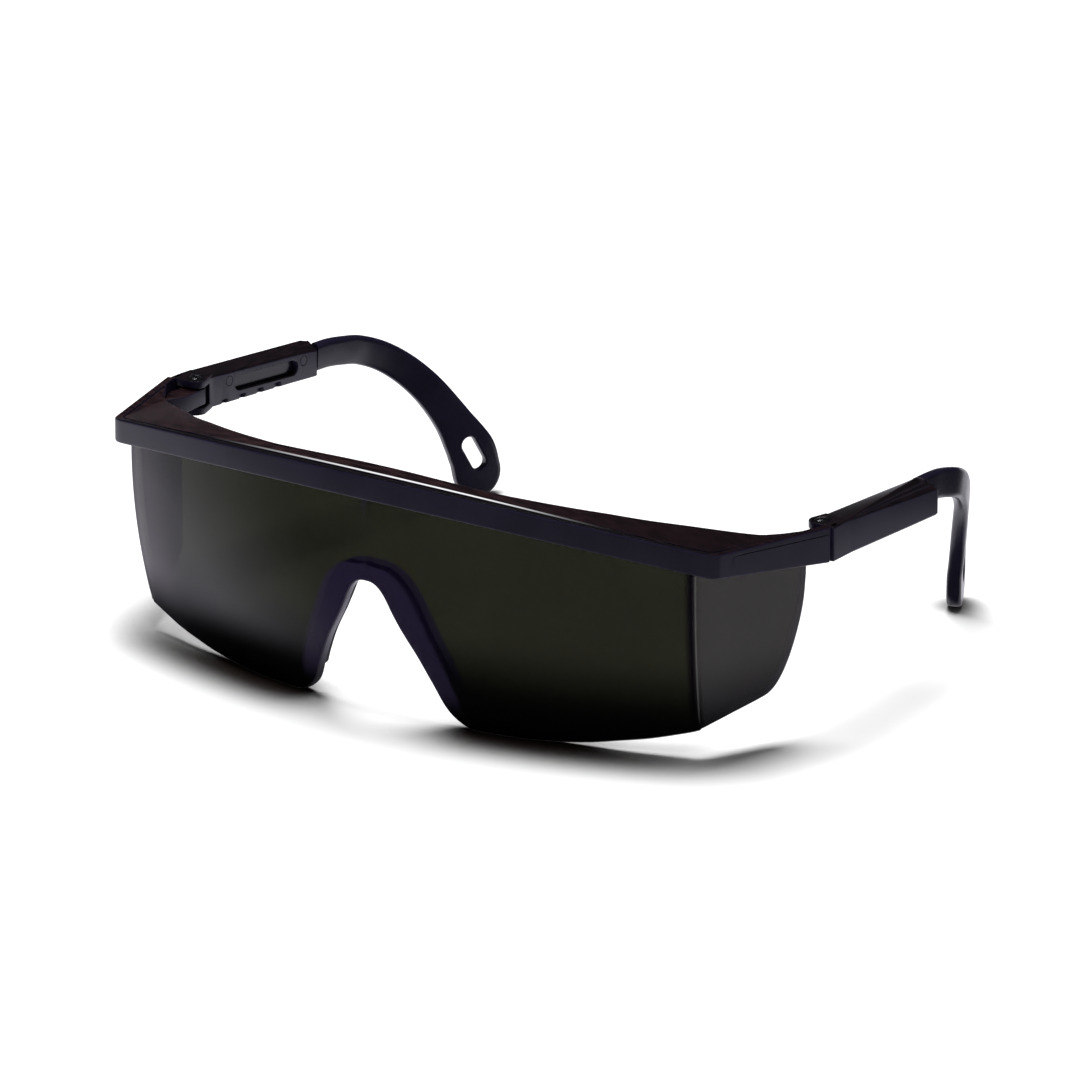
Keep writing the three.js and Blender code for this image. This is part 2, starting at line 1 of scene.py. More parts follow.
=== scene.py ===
"""Wraparound glasses: a brow frame, a one-piece dark lens with side shields, a nosepiece,
and two sleeves hinged on screws that hold the ear pieces, standing on a pale floor.

The front faces -Y, the temples run back along +Y and Z is up. Pieces called "right" lie at +X,
which is the right as seen from the front. Shapes are in millimetres, in working coordinates:
z = 0 is the top edge of the brow at its corners and y = 0 is the line through those corners.
place() moves a finished piece into the row frame, in metres.
"""

import math
from bisect import bisect_right

import bmesh
import bpy
from mathutils import Matrix, Vector
from mathutils.geometry import delaunay_2d_cdt


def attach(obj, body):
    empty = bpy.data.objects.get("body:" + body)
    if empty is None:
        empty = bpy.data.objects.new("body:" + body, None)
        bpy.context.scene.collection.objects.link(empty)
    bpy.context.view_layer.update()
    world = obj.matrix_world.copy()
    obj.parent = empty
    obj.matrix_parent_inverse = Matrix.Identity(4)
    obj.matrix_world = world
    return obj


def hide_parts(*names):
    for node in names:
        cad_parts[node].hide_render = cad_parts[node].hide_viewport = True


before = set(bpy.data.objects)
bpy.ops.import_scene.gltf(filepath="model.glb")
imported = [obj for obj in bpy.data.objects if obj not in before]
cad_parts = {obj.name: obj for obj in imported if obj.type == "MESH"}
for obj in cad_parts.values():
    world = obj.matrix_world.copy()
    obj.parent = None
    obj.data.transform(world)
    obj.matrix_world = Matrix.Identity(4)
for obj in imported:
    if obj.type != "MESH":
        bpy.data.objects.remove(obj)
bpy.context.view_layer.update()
scene = bpy.context.scene

# ---------------------------------------------------------------- dimensions
MID_Y = 48.03          # working y of the row frame's origin
BROW_Z = 44.5          # height of z = 0 above the floor

PLAN_R = 154.7         # plan radius of band and lens
BAND_Y = -16.62        # face of the band at the middle
BAND_H = 5.02
ARCH = 7.03            # rise of the brow line at the middle
CORNER_X = 71.7
WALL = 1.3             # thickness of the band in front
WALL_SIDE = 1.6        # and along the sides
SIDE_X = 72.0          # side wall at y = 0
SIDE_SLOPE = 0.272     # its x per y
SIDE_END_Y = 29.0

LEDGE_T = 1.9
LEDGE_DROP = 0.16      # ledge below the band's lip
LEDGE_REACH = 77.9     # half width of the ledge
GROOVE_HALF = 63.0     # half length of the crescent groove
GROOVE_W = 2.1         # its width at the middle

LENS_Y = -14.92
LENS_T = 2.0
LENS_TUCK = 4.84       # how far the lens sets back at z = -40
LENS_TUCK_X = 1.75     # how far its sides draw in there
LENS_RIM = 0.34        # rounding of the cut edge
FOLD_X = 67.6          # fold between lens and side shield
SHIELD_SLOPE = 0.344   # x per y of the shield

HINGE_X = 75.4
HINGE_Y = 32.4
PIN_R = 0.88

# nosepiece, right half: (x, z) along its inner and outer edges
NOSE_IN = [
    (0, -15.0), (2.7, -15.7), (4.3, -17.3), (5.9, -20.4), (7.7, -23.8),
    (9.4, -26.6), (11.1, -29.5), (12.7, -32.7), (14.3, -36.2), (15.3, -38.6)]
NOSE_OUT = [
    (0, -11.8), (4.6, -12.3), (7.9, -14.4), (10.6, -18.1), (12.4, -22.2),
    (13.9, -25.7), (15.4, -29.1), (16.7, -32.5), (17.7, -35.8), (18.4, -38.3)]


# -------------------------------------------------------------------- curves
def smooth(t):
    t = min(1.0, max(0.0, t))
    return t * t * (3 - 2 * t)


def top_z(x, y):
    """Height of the brow line."""
    return ARCH * max(0.0, 1 - (x / CORNER_X) ** 2) - 0.026 * max(0.0, y)


def bow_y(x, middle):
    """Plan curve shared by band and lens."""
    return middle + x * x / (2 * PLAN_R)


def side_y(x):
    """y at which the outer side wall reaches x."""
    return (x - SIDE_X) / SIDE_SLOPE


def quarter(count):
    """(1 - sin, 1 - cos) in equal steps over a quarter turn."""
    angles = [math.pi / 2 * k / count for k in range(count + 1)]
    return [(1 - math.sin(a), 1 - math.cos(a)) for a in angles]


def circle(cx, cy, r, n=40, start=0.0, end=2 * math.pi):
    full = abs(end - start - 2 * math.pi) < 1e-9
    angles = [start + (end - start) * i / n for i in range(n if full else n + 1)]
    return [(cx + r * math.cos(a), cy + r * math.sin(a)) for a in angles]


def half_circle(cx, r, start):
    return circle(cx, 0, r, 14, start, start + math.pi)


def bezier(start, control, end, count):
    """Quadratic curve of count + 1 points."""
    return [tuple((1 - t) ** 2 * start[k] + 2 * t * (1 - t) * control[k] + t * t * end[k]
                  for k in (0, 1))
            for t in (i / count for i in range(count + 1))]


def pchip(table):
    """Smooth monotone curve through a table."""
    xs, ys = zip(*table)
    n = len(xs)
    gap = [xs[i + 1] - xs[i] for i in range(n - 1)]
    slope = [(ys[i + 1] - ys[i]) / gap[i] for i in range(n - 1)]
    tangent = [slope[0]]
    for i in range(1, n - 1):
        g0, g1, s0, s1 = gap[i - 1], gap[i], slope[i - 1], slope[i]
        tangent.append(0.0 if s0 * s1 <= 0 else
                       3 * (g0 + g1) / ((2 * g1 + g0) / s0 + (g1 + 2 * g0) / s1))
    tangent.append(slope[-1])

    def curve(x):
        x = min(xs[-1], max(xs[0], x))
        i = next(k for k in range(n - 1) if x <= xs[k + 1])
        t = (x - xs[i]) / gap[i]
        return (ys[i] * (1 + 2 * t) * (1 - t) ** 2 + gap[i] * tangent[i] * t * (1 - t) ** 2
                + ys[i + 1] * t * t * (3 - 2 * t) + gap[i] * tangent[i + 1] * t * t * (t - 1))
    return curve


def catmull(keys, per):
    """Centripetal Catmull-Rom through keys, per points a segment."""
    keys = [Vector(key) for key in keys]
    keys = [2 * keys[0] - keys[1]] + keys + [2 * keys[-1] - keys[-2]]
    out = []
    for i in range(1, len(keys) - 2):
        p0, p1, p2, p3 = keys[i - 1:i + 3]
        d0, d1, d2 = [max(1e-4, (b - a).length) ** 0.5
                      for a, b in ((p0, p1), (p1, p2), (p2, p3))]
        t1 = ((p1 - p0) / d0 - (p2 - p0) / (d0 + d1) + (p2 - p1) / d1) * d1
        t2 = ((p2 - p1) / d1 - (p3 - p1) / (d1 + d2) + (p3 - p2) / d2) * d1
        for k in range(per):
            t = k / per
            out.append(p1 * (2 * t ** 3 - 3 * t * t + 1) + t1 * (t ** 3 - 2 * t * t + t)
                       + p2 * (-2 * t ** 3 + 3 * t * t) + t2 * (t ** 3 - t * t))
    out.append(keys[-2])
    return out


def spaced(points, n):
    """n + 1 points at equal distances along a dense run of points."""
    run = [0.0]
    for a, b in zip(points, points[1:]):
        run.append(run[-1] + (b - a).length)
    out, j = [], 0
    for k in range(n + 1):
        s = run[-1] * k / n
        while j < len(run) - 2 and run[j + 1] < s:
            j += 1
        t = 0 if run[j + 1] == run[j] else (s - run[j]) / (run[j + 1] - run[j])
        out.append(points[j].lerp(points[j + 1], min(1.0, t)))
    return out


def mirrored(half):
    """Both halves of a run that starts on the centre line."""
    return [(-x, y) for x, y in half[:0:-1]] + half


def normals(path):
    """Unit normals to the left of a plan path: inwards, for paths run from -X to +X."""
    out = []
    for i in range(len(path)):
        a, b = path[max(0, i - 1)], path[min(len(path) - 1, i + 1)]
        dx, dy = b[0] - a[0], b[1] - a[1]
        length = math.hypot(dx, dy)
        out.append((-dy / length, dx / length))
    return out


def fillet(poly, radius, seg=4):
    """Rounds each corner of a closed polygon; radius is one value or one a corner."""
    n, out = len(poly), []
    for i in range(n):
        a, p, b = Vector(poly[i - 1]), Vector(poly[i]), Vector(poly[(i + 1) % n])
        u, v = a - p, b - p
        lu, lv = u.length, v.length
        r = radius[i] if isinstance(radius, list) else radius
        cosine = max(-1.0, min(1.0, u.dot(v) / max(1e-9, lu * lv)))
        half = math.acos(cosine) / 2
        t = min(r / max(0.05, math.tan(half)), 0.47 * lu, 0.47 * lv)
        start, end = p + u / max(1e-9, lu) * t, p + v / max(1e-9, lv) * t
        for k in range(seg + 1):
            s = k / seg
            q = start * (1 - s) ** 2 + p * 2 * s * (1 - s) + end * s * s
            out.append((q.x, q.y))
    return out


def inset(poly, distance):
    """A closed 2-D polygon moved inwards along averaged normals."""
    n = len(poly)
    area = sum(poly[i][0] * poly[(i + 1) % n][1] - poly[(i + 1) % n][0] * poly[i][1]
               for i in range(n))
    sign = 1 if area > 0 else -1
    out = []
    for i in range(n):
        a, p, b = poly[i - 1], poly[i], poly[(i + 1) % n]
        d1 = Vector((p[0] - a[0], p[1] - a[1]))
        d2 = Vector((b[0] - p[0], b[1] - p[1]))
        d1 = d1.normalized() if d1.length > 1e-7 else d2.normalized()
        d2 = d2.normalized() if d2.length > 1e-7 else d1
        m = Vector((-(d1.y + d2.y), d1.x + d2.x)) * sign
        if m.length < 1e-6:
            m = Vector((-d1.y, d1.x)) * sign
        m.normalize()
        k = max(0.5, abs(m.dot(Vector((-d1.y, d1.x)))))
        out.append((p[0] + m.x * distance / k, p[1] + m.y * distance / k))
    return out


# -------------------------------------------------------------- mesh helpers
def link_object(name, mesh):
    o = bpy.data.objects.new(name, mesh)
    scene.collection.objects.link(o)
    return o


def mesh_object(mesh, merge=True):
    """Object of a closed mesh with its faces turned outwards."""
    bm = bmesh.new()
    bm.from_mesh(mesh)
    if merge:
        bmesh.ops.remove_doubles(bm, verts=bm.verts, dist=1e-5)
    bmesh.ops.recalc_face_normals(bm, faces=bm.faces)
    if bm.calc_volume(signed=True) < 0:
        bmesh.ops.reverse_faces(bm, faces=bm.faces)
    bm.to_mesh(mesh)
    bm.free()
    return link_object("tmp", mesh)


def solid(rings, wrap=False):
    """Closed mesh through a run of closed rings of 3-D points."""
    n, m = len(rings[0]), len(rings)
    faces = []
    for k in range(m if wrap else m - 1):
        here, there = k * n, (k + 1) % m * n
        for i in range(n):
            j = (i + 1) % n
            faces.append((here + i, here + j, there + j, there + i))
    if not wrap:
        faces.append(tuple(range(n))[::-1])
        faces.append(tuple((m - 1) * n + i for i in range(n)))
    mesh = bpy.data.meshes.new("tmp")
    mesh.from_pydata([tuple(p) for ring in rings for p in ring], [], faces)
    return mesh_object(mesh)


def volume(o):
    bm = bmesh.new()
    bm.from_mesh(o.data)
    v = bm.calc_volume(signed=True)
    bm.free()
    return v


def cut(piece, tool, operation="DIFFERENCE"):
    """Boolean of two closed meshes; the tool is used up."""
    before = volume(piece)
    # the exact solver takes over where the first leaves the piece empty or unchanged
    for solver in ("MANIFOLD", "EXACT"):
        modifier = piece.modifiers.new("b", "BOOLEAN")
        modifier.operation, modifier.solver, modifier.object = operation, solver, tool
        bpy.context.view_layer.update()
        depsgraph = bpy.context.evaluated_depsgraph_get()
        mesh = bpy.data.meshes.new_from_object(piece.evaluated_get(depsgraph))
        piece.modifiers.clear()
        old = piece.data
        piece.data = mesh
        if len(mesh.polygons) and abs(volume(piece) - before) > 1e-6:
            bpy.data.meshes.remove(old)
            bpy.data.objects.remove(tool)
            return
        piece.data = old
        bpy.data.meshes.remove(mesh)
    raise RuntimeError(f"boolean {operation} changed nothing ({before:.3f})")


def join(piece, *others):
    for other in others:
        cut(piece, other, "UNION")


def prism(poly, low, high, rim=0.0):
    """Upright prism of a plan polygon, its edges rounded by rim."""
    levels = [(low, 0.0), (high, 0.0)]
    if rim > 0:
        arc = quarter(3)
        levels = [(low + rim * c, rim * s) for s, c in arc]
        levels += [(high - rim * c, rim * s) for s, c in arc[::-1]]
    return solid([[(x, y, z) for x, y in inset(poly, d)] for z, d in levels])


def turned(profile):
    """Solid turned about the hinge axis from (radius, z) stations."""
    return solid([[(x, y, z) for x, y in circle(HINGE_X, HINGE_Y, r)] for r, z in profile])


def cut_hinge_hole(piece):
    cut(piece, prism(circle(HINGE_X, HINGE_Y, PIN_R, 32), -20, 5))


def cut_ring_mark(piece, centre, axis, radius, width, deep):
    """Fine circular mark cut into a flat face; axis points out of the face."""
    axis = Vector(axis).normalized()
    u = axis.orthogonal().normalized()
    v = axis.cross(u)
    section = ((radius - width / 2, 0.4), (radius + width / 2, 0.4),
               (radius + width * 0.15, -deep), (radius - width * 0.15, -deep))
    rings = []
    for k in range(36):
        a = 2 * math.pi * k / 36
        d = u * math.cos(a) + v * math.sin(a)
        rings.append([tuple(Vector(centre) + d * r + axis * h) for r, h in section])
    cut(piece, solid(rings, wrap=True))


def copy_mirrored(o):
    mesh = o.data.copy()
    mesh.transform(Matrix.Diagonal((-1, 1, 1, 1)))
    mesh.flip_normals()
    return link_object("tmp", mesh)


def place(o, name, body, node, material, angle=30):
    """Moves a finished piece into the row frame and hands it to its body."""
    mesh = o.data
    mesh.transform(Matrix.Diagonal((0.001, 0.001, 0.001, 1))
                   @ Matrix.Translation((0, -MID_Y, BROW_Z)))
    mesh.polygons.foreach_set("use_smooth", [True] * len(mesh.polygons))
    mesh.set_sharp_from_angle(angle=math.radians(angle))
    o.name = name
    mesh.name = name
    mesh.materials.clear()
    mesh.materials.append(material)
    mesh.update()
    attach(o, body)
    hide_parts(node)


def place_pair(right, name, body, node, material):
    """Places a right-hand piece and its mirror image; {} in the names takes the side."""
    left = copy_mirrored(right)
    for side, piece in (("right", right), ("left", left)):
        place(piece, name.format(side), body.format(side), node.format(side), material)


# ------------------------------------------------------------------ shader helpers
class Value:
    """A number in a node tree; arithmetic on it adds math nodes."""

    def __init__(self, nodes, socket):
        self.nodes, self.socket = nodes, socket

    def op(self, kind, *args):
        inputs = dict(enumerate((self,) + args))
        return self.nodes.value(self.nodes.node("Math", inputs, operation=kind))

    def __add__(self, other):
        return self.op("ADD", other)

    def __sub__(self, other):
        return self.op("SUBTRACT", other)

    def __mul__(self, other):
        return self.op("MULTIPLY", other)

    def __abs__(self):
        return self.op("ABSOLUTE")

    def inverse(self):
        """One minus the value."""
        return (self * -1.0) + 1.0

    def ramp(self, off, on):
        """0 at and beyond off, 1 at and beyond on, smooth between."""
        falling = on < off
        node = self.nodes.node("MapRange", {
            "Value": self, "From Min": min(off, on), "From Max": max(off, on),
            "To Min": float(falling), "To Max": float(not falling),
        }, interpolation_type="SMOOTHSTEP")
        return self.nodes.value(node, "Result")


class Nodes:
    """The node tree of a material or world, started from its output node."""

    def __init__(self, owner, output="OutputMaterial"):
        self.owner = owner
        owner.use_nodes = True
        self.tree = owner.node_tree
        self.tree.nodes.clear()
        self.out = self.node(output)

    def feed(self, socket, value):
        """Links a value, node or socket into an input, or sets a plain number or colour."""
        if isinstance(value, Value):
            value = value.socket
        elif isinstance(value, bpy.types.Node):
            value = value.outputs[0]
        if isinstance(value, bpy.types.NodeSocket):
            self.tree.links.new(value, socket)
        elif socket.type == "RGBA":
            socket.default_value = (*value, 1)
        else:
            socket.default_value = value

    def node(self, kind, inputs=None, **props):
        node = self.tree.nodes.new("ShaderNode" + kind)
        for key, value in props.items():
            setattr(node, key, value)
        for key, value in (inputs or {}).items():
            self.feed(node.inputs[key], value)
        return node

    def value(self, node, output=0):
        return Value(self, node.outputs[output])

    def separate(self, vector):
        node = self.node("SeparateXYZ", {0: vector})
        return [self.value(node, i) for i in range(3)]

    def position(self):
        return self.separate(self.point)

    def normal_z(self):
        normal = self.node("NewGeometry").outputs["Normal"]
        local = self.node("VectorTransform", {0: normal}, vector_type="NORMAL",
                          convert_from="WORLD", convert_to="OBJECT")
        return self.separate(local)[2]

    def stretch(self, x, y, z):
        return self.node("Mapping", {"Scale": (x, y, z), "Vector": self.point})

    def noise(self, vector, scale, detail, rough):
        return self.value(self.node("TexNoise", {
            "Scale": scale, "Detail": detail, "Roughness": rough, "Vector": vector}), "Fac")

    def attribute(self, name):
        return self.value(self.node("Attribute", attribute_name=name), "Fac")

    def mix(self, factor, a, b, blend="MIX"):
        inputs = {0: factor, 6: a, 7: b}
        return self.node("Mix", inputs, data_type="RGBA", blend_type=blend).outputs[2]

    def edge(self, radius):
        """1 along convex or concave edges."""
        bevel = self.node("Bevel", {"Radius": radius / 1000}, samples=4)
        normal = self.node("NewGeometry").outputs["Normal"]
        dot = self.node("VectorMath", {0: bevel, 1: normal}, operation="DOT_PRODUCT")
        return self.value(dot, "Value").ramp(off=0.999, on=0.93)

    def bump(self, height, strength, distance):
        return self.node("Bump", {
            "Strength": strength, "Distance": distance / 1000, "Height": height})

    def principled(self, color, rough, normal=None, spec=0.5, metallic=0.0):
        inputs = {"Base Color": color, "Roughness": rough, "Specular IOR Level": spec,
                  "IOR": 1.5, "Metallic": metallic}
        if normal is not None:
            inputs["Normal"] = normal
        return self.node("BsdfPrincipled", inputs)

    def emission(self, color, strength=1.0):
        return self.node("Emission", {"Color": color, "Strength": strength})

    def mix_shader(self, factor, a, b):
        return self.node("MixShader", {0: factor, 1: a, 2: b})

    def finish(self, shader):
        self.feed(self.out.inputs["Surface"], shader)
        return self.owner


def material(name):
    """Material nodes whose point is the working position, moving with the piece."""
    mat = Nodes(bpy.data.materials.new(name))
    mat.point = mat.node("Mapping", {
        "Scale": (1000, 1000, 1000), "Location": (0, MID_Y, -BROW_Z),
        "Vector": mat.node("TexCoord").outputs["Object"]})
    return mat


# ------------------------------------------------------------------ materials
PURPLE = (0.0112, 0.0086, 0.0270)
# painted shade: the colour given to faces that look up, darker than faces that look sideways
TOP_SHADE = (0.0032, 0.0026, 0.0036)
# painted highlight: edges are painted paler than the faces, as where they catch the light
EDGE_HIGHLIGHT = (0.045, 0.042, 0.056)
# also painted along the lens's fold as a dark line (painted shade)
BACKED_AND_FOLD_TINT = (0.03, 0.02, 0.04)      # light let through where the lens is backed
EDGE_R = 0.22                         # reach of the paler edges


def brow_material():
    ledge_top_shade, top_brown = (0.0035, 0.0016, 0.0026), (0.0240, 0.0110, 0.0125)
    mat = material("brow_moulded_nylon")
    x, y, z = mat.position()
    upward = mat.normal_z().ramp(off=0.55, on=0.85)
    # depth behind the band's face and height over the brow line
    depth = y - (x * x * (1 / (2 * PLAN_R)) + BAND_Y)
    height = z - (x * x * (-ARCH / CORNER_X ** 2) + ARCH).op("MAXIMUM", 0.0)
    streak = mat.noise(mat.stretch(0.16, 1.5, 1.5), scale=1.1, detail=5, rough=0.62)
    fine = mat.noise(mat.point, scale=9.0, detail=2, rough=0.5)
    cloud = mat.noise(mat.point, scale=0.10, detail=2, rough=0.5)
    edge = mat.edge(EDGE_R)
    behind = depth.ramp(off=1.5, on=1.9)
    side = abs(x).ramp(off=70.4, on=71.6)
    top_mask = upward * behind.op("MAXIMUM", side)
    face = mat.mix(cloud.ramp(off=0.35, on=0.65), PURPLE, (0.0138, 0.0108, 0.0320))
    # brown streaks and pale wear on the top, weaker towards +X
    worn = mat.noise(mat.stretch(0.35, 3.2, 3.2), scale=1.5, detail=4, rough=0.7)
    worn = worn.ramp(off=0.60, on=0.72)
    fade = x.ramp(off=75.0, on=-10.0) * 0.75 + 0.25
    top = mat.mix(streak.ramp(off=0.44, on=0.60) * fade, ledge_top_shade, top_brown)
    worn = worn * abs(x).ramp(off=30.0, on=55.0) * fade * 0.6
    top = mat.mix(worn, top, (0.060, 0.034, 0.036))
    # painted shade: upward faces are painted black, and the ledge top near-black under its
    # brown streaks
    color = mat.mix(top_mask, mat.mix(upward, face, TOP_SHADE), top)
    # painted highlight along the edges
    color = mat.mix(edge * 0.22, color, EDGE_HIGHLIGHT)
    # painted highlight: a glowing line along the rear edge of the crescent groove, fading out
    # towards -X
    span = (x * x * (-1 / GROOVE_HALF ** 2) + 1.0).op("MAXIMUM", 0.0)
    past = depth - (span * GROOVE_W + (WALL + 0.06))
    rise = x.ramp(off=-70.0, on=6.0)
    line = past.ramp(off=-0.13, on=-0.05) * past.ramp(off=0.08, on=0.02)
    line = line * height.ramp(off=-0.52, on=-0.40) * span.ramp(off=0.0, on=0.06)
    line = line * (rise * rise * rise * 0.98 + 0.02)
    line = line * (x.ramp(off=60.0, on=30.0) * 0.45 + 0.55)
    rough_top = streak * 0.16 + 0.30
    rough = (fine * 0.10 + 0.36) * top_mask.inverse() + rough_top * top_mask
    bump = mat.bump(fine * 0.35 + streak * top_mask, strength=0.35, distance=0.05)
    body = mat.principled(color, rough, bump)
    glint = mat.emission((0.95, 0.95, 0.97), strength=1.05)
    return mat.finish(mat.mix_shader(line, body, glint))


def plastic(name, base, light, rough, spec=0.5, grain=0.35, shaded_top=False, seen=None):
    """Moulded plastic; seen is a tone painted on as a glow where the camera views the piece
    through the lens.
    """
    mat = material(name)
    fine = mat.noise(mat.point, scale=8.0, detail=3, rough=0.55)
    flow = mat.noise(mat.stretch(1.0, 0.12, 1.0), scale=1.6, detail=4, rough=0.6)
    cloud = mat.noise(mat.point, scale=0.14, detail=2, rough=0.5)
    color = mat.mix(cloud.ramp(off=0.32, on=0.68), base, light)
    # painted shade: upward faces are painted darker, with brown flow streaks
    if shaded_top:
        top = mat.mix(flow.ramp(off=0.4, on=0.65), TOP_SHADE, (0.0085, 0.0048, 0.0070))
        color = mat.mix(mat.normal_z().ramp(off=0.30, on=0.62), color, top)
    # painted highlight along the edges
    color = mat.mix(mat.edge(EDGE_R) * 0.25, color, EDGE_HIGHLIGHT)
    rough = fine * 0.10 + flow * 0.08 + (rough - 0.09)
    bump = mat.bump(fine * 0.4 + flow * 0.6, strength=grain, distance=0.045)
    body = mat.principled(color, rough, bump, spec=spec)
    if seen is None:
        return mat.finish(body)
    # painted light: where the camera views the piece through the lens, it glows in the seen
    # tone
    path = mat.node("LightPath")
    through = mat.value(path, "Transparent Depth").op("GREATER_THAN", 0.5)
    through = through * mat.value(path, "Is Camera Ray")
    return mat.finish(mat.mix_shader(through, body, mat.emission(seen)))


def nose_border(mat, x, z):
    """1 where the lens is backed by the nosepiece, inside the curve NOSE_OUT."""
    curve_z, curve_x = 50.0, 25.0      # the curve node's unit square covers this much
    curve = mat.node("FloatCurve", {"Value": z * (-1 / curve_z)})
    points = [(-b / curve_z, a / curve_x) for a, b in NOSE_OUT]
    line = curve.mapping.curves[0]
    line.points[0].location = (0.0, 0.0)
    line.points[1].location = (1.0, points[-1][1])
    for point in points:
        line.points.new(*point)
    curve.mapping.update()
    past = abs(x) - mat.value(curve) * curve_x
    return past.ramp(off=1.0, on=-0.6) * z.ramp(off=-42.0, on=-36.0)


def lens_material():
    mat = material("dark_shade_polycarbonate")
    x, y, z = mat.position()
    cloud = mat.noise(mat.point, scale=0.05, detail=2, rough=0.5)
    haze = mat.noise(mat.point, scale=2.2, detail=4, rough=0.6)
    fold, crease_highlight, shield = [mat.attribute(name) for name in ("fold", "crease_highlight", "shield")]
    # painted highlight along the cut edge, kept faint round the nose arch
    rim = mat.attribute("rim") * (abs(x).ramp(off=22.0, on=19.0) * -0.82 + 1.0)
    path = mat.node("LightPath")
    through = mat.value(path, "Transparent Depth").op("GREATER_THAN", 1.5)
    tint = mat.mix(cloud.ramp(off=0.4, on=0.6), (0.106, 0.108, 0.0865), (0.110, 0.113, 0.089))
    # painted light: the side shields are given a paler tint, for the brighter look they have
    tint = mat.mix(shield, tint, (0.154, 0.150, 0.146))
    # painted shade: a dark line along the fold
    tint = mat.mix(fold * through.inverse(), tint, BACKED_AND_FOLD_TINT)
    # the cut edge also lets more light through: part of the painted highlight
    tint = mat.mix(rim * through.inverse(), tint, (0.14, 0.13, 0.15))
    border = nose_border(mat, x, z) * through.inverse()
    # painted shadow: less light passes towards the foot of the lens, as where the floor's
    # shadow is seen through it
    low = z.ramp(off=-40.5, on=-22.0) * 0.94 + 0.06
    foot = mat.mix(low, (0.0, 0.0, 0.0), (1.0, 1.0, 1.0))
    tint = mat.mix(1.0, mat.mix(border, tint, BACKED_AND_FOLD_TINT), foot, blend="MULTIPLY")
    clear = mat.node("BsdfTransparent", {"Color": tint})
    # painted shadow in the reflection: the mirror tone is faint at the foot, where the floor's
    # shadow is mirrored, and a little lower at the -X end
    mirror = mat.mix(x.ramp(off=-64.0, on=-52.0), (0.97, 0.95, 1.0), (0.72, 0.71, 0.74))
    mirror = mat.mix(z.ramp(off=-40.0, on=-27.5), (0.05, 0.05, 0.055), mirror)
    gloss = mat.node("BsdfGlossy", {
        "Color": mirror, "Roughness": haze * 0.03 + 0.035,
        "Normal": mat.bump(haze, strength=0.04, distance=0.02)})
    color = mat.mix(border, (0.0016, 0.0016, 0.0018), (0.0165, 0.0128, 0.0290))
    # painted highlight: a pale line along the crease of the fold
    crease_highlight = crease_highlight * through.inverse() * z.ramp(off=-40.0, on=-30.0) * 0.9
    color = mat.mix(crease_highlight, color, (0.085, 0.083, 0.092))
    # painted highlight: the cut edge is painted pale
    color = mat.mix(rim * through.inverse() * 0.85, color, (0.17, 0.165, 0.175))
    diffuse = mat.node("BsdfDiffuse", {"Color": color})
    base = mat.node("AddShader", {0: clear, 1: diffuse})
    # only the outer face of each wall reflects
    fresnel = mat.value(mat.node("Fresnel", {"IOR": 1.50}))
    outer = mat.value(mat.node("NewGeometry"), "Backfacing").inverse()
    return mat.finish(mat.mix_shader(fresnel * outer, base, gloss))


def steel_material():
    mat = material("turned_steel")
    cloud = mat.noise(mat.point, scale=14.0, detail=2, rough=0.5)
    spin = mat.noise(mat.stretch(6, 6, 0.4), scale=2.0, detail=3, rough=0.5)
    color = mat.mix(cloud.ramp(off=0.35, on=0.7), (0.34, 0.34, 0.36), (0.46, 0.46, 0.48))
    # painted highlight along the edges
    color = mat.mix(mat.edge(0.1) * 0.5, color, (0.60, 0.60, 0.62))
    bump = mat.bump(spin, strength=0.2, distance=0.02)
    return mat.finish(mat.principled(color, spin * 0.2 + 0.16, bump, metallic=1.0))


BROW = brow_material()
SLEEVE = plastic("sleeve_moulded_nylon", PURPLE, light=(0.0140, 0.0112, 0.0320), rough=0.34,
                 shaded_top=True)
ARM = plastic("arm_gloss_nylon", (0.0072, 0.0056, 0.0150), light=(0.0092, 0.0072, 0.0185),
              rough=0.22, grain=0.15)
# the nosepiece glows purple where it is seen through the lens: painted light
NOSE = plastic("nosepiece_soft_black", (0.0060, 0.0048, 0.0115),
               light=(0.0080, 0.0066, 0.0140), rough=0.60, spec=0.12, grain=0.3,
               seen=(0.81, 0.64, 2.0))
LENS = lens_material()
STEEL = steel_material()

# ----------------------------------------------------------------- brow frame
# rear edge of the ledge: (|x|, y)
LEDGE_REAR = pchip([
    (0, -8.6), (12, -8.5), (24, -7.7), (33, -5.5), (41, -2.6), (47, 0.2), (54, 3.9),
    (61, 8.8), (65.5, 12.1), (69, 14.9), (72, 17.8), (74.6, 21.0), (76.4, 24.0),
    (LEDGE_REACH, 26.2)])


def brow_half_path():
    """Outer face in plan: bowed front, tight corner, straight side."""
    path = [(float(x), bow_y(x, BAND_Y)) for x in range(69)]
    path += bezier((68.6, bow_y(68.6, BAND_Y)), (72.04, 0.114), (72.5, side_y(72.5)), 14)
    side = [2.9 + k for k in range(26)] + [SIDE_END_Y - d for d in (0.28, 0.08, 0)]
    return path + [(SIDE_X + SIDE_SLOPE * y, y) for y in side]


BROW_PATH = mirrored(brow_half_path())
BROW_NORMALS = normals(BROW_PATH)


def brow_point(i, depth, z):
    """Point at a depth inside the outer face."""
    (x, y), (nx, ny) = BROW_PATH[i], BROW_NORMALS[i]
    return (x + nx * depth, y + ny * depth, z)


def wall_thickness(x):
    return WALL + (WALL_SIDE - WALL) * smooth((abs(x) - 70.5) / 1.5)


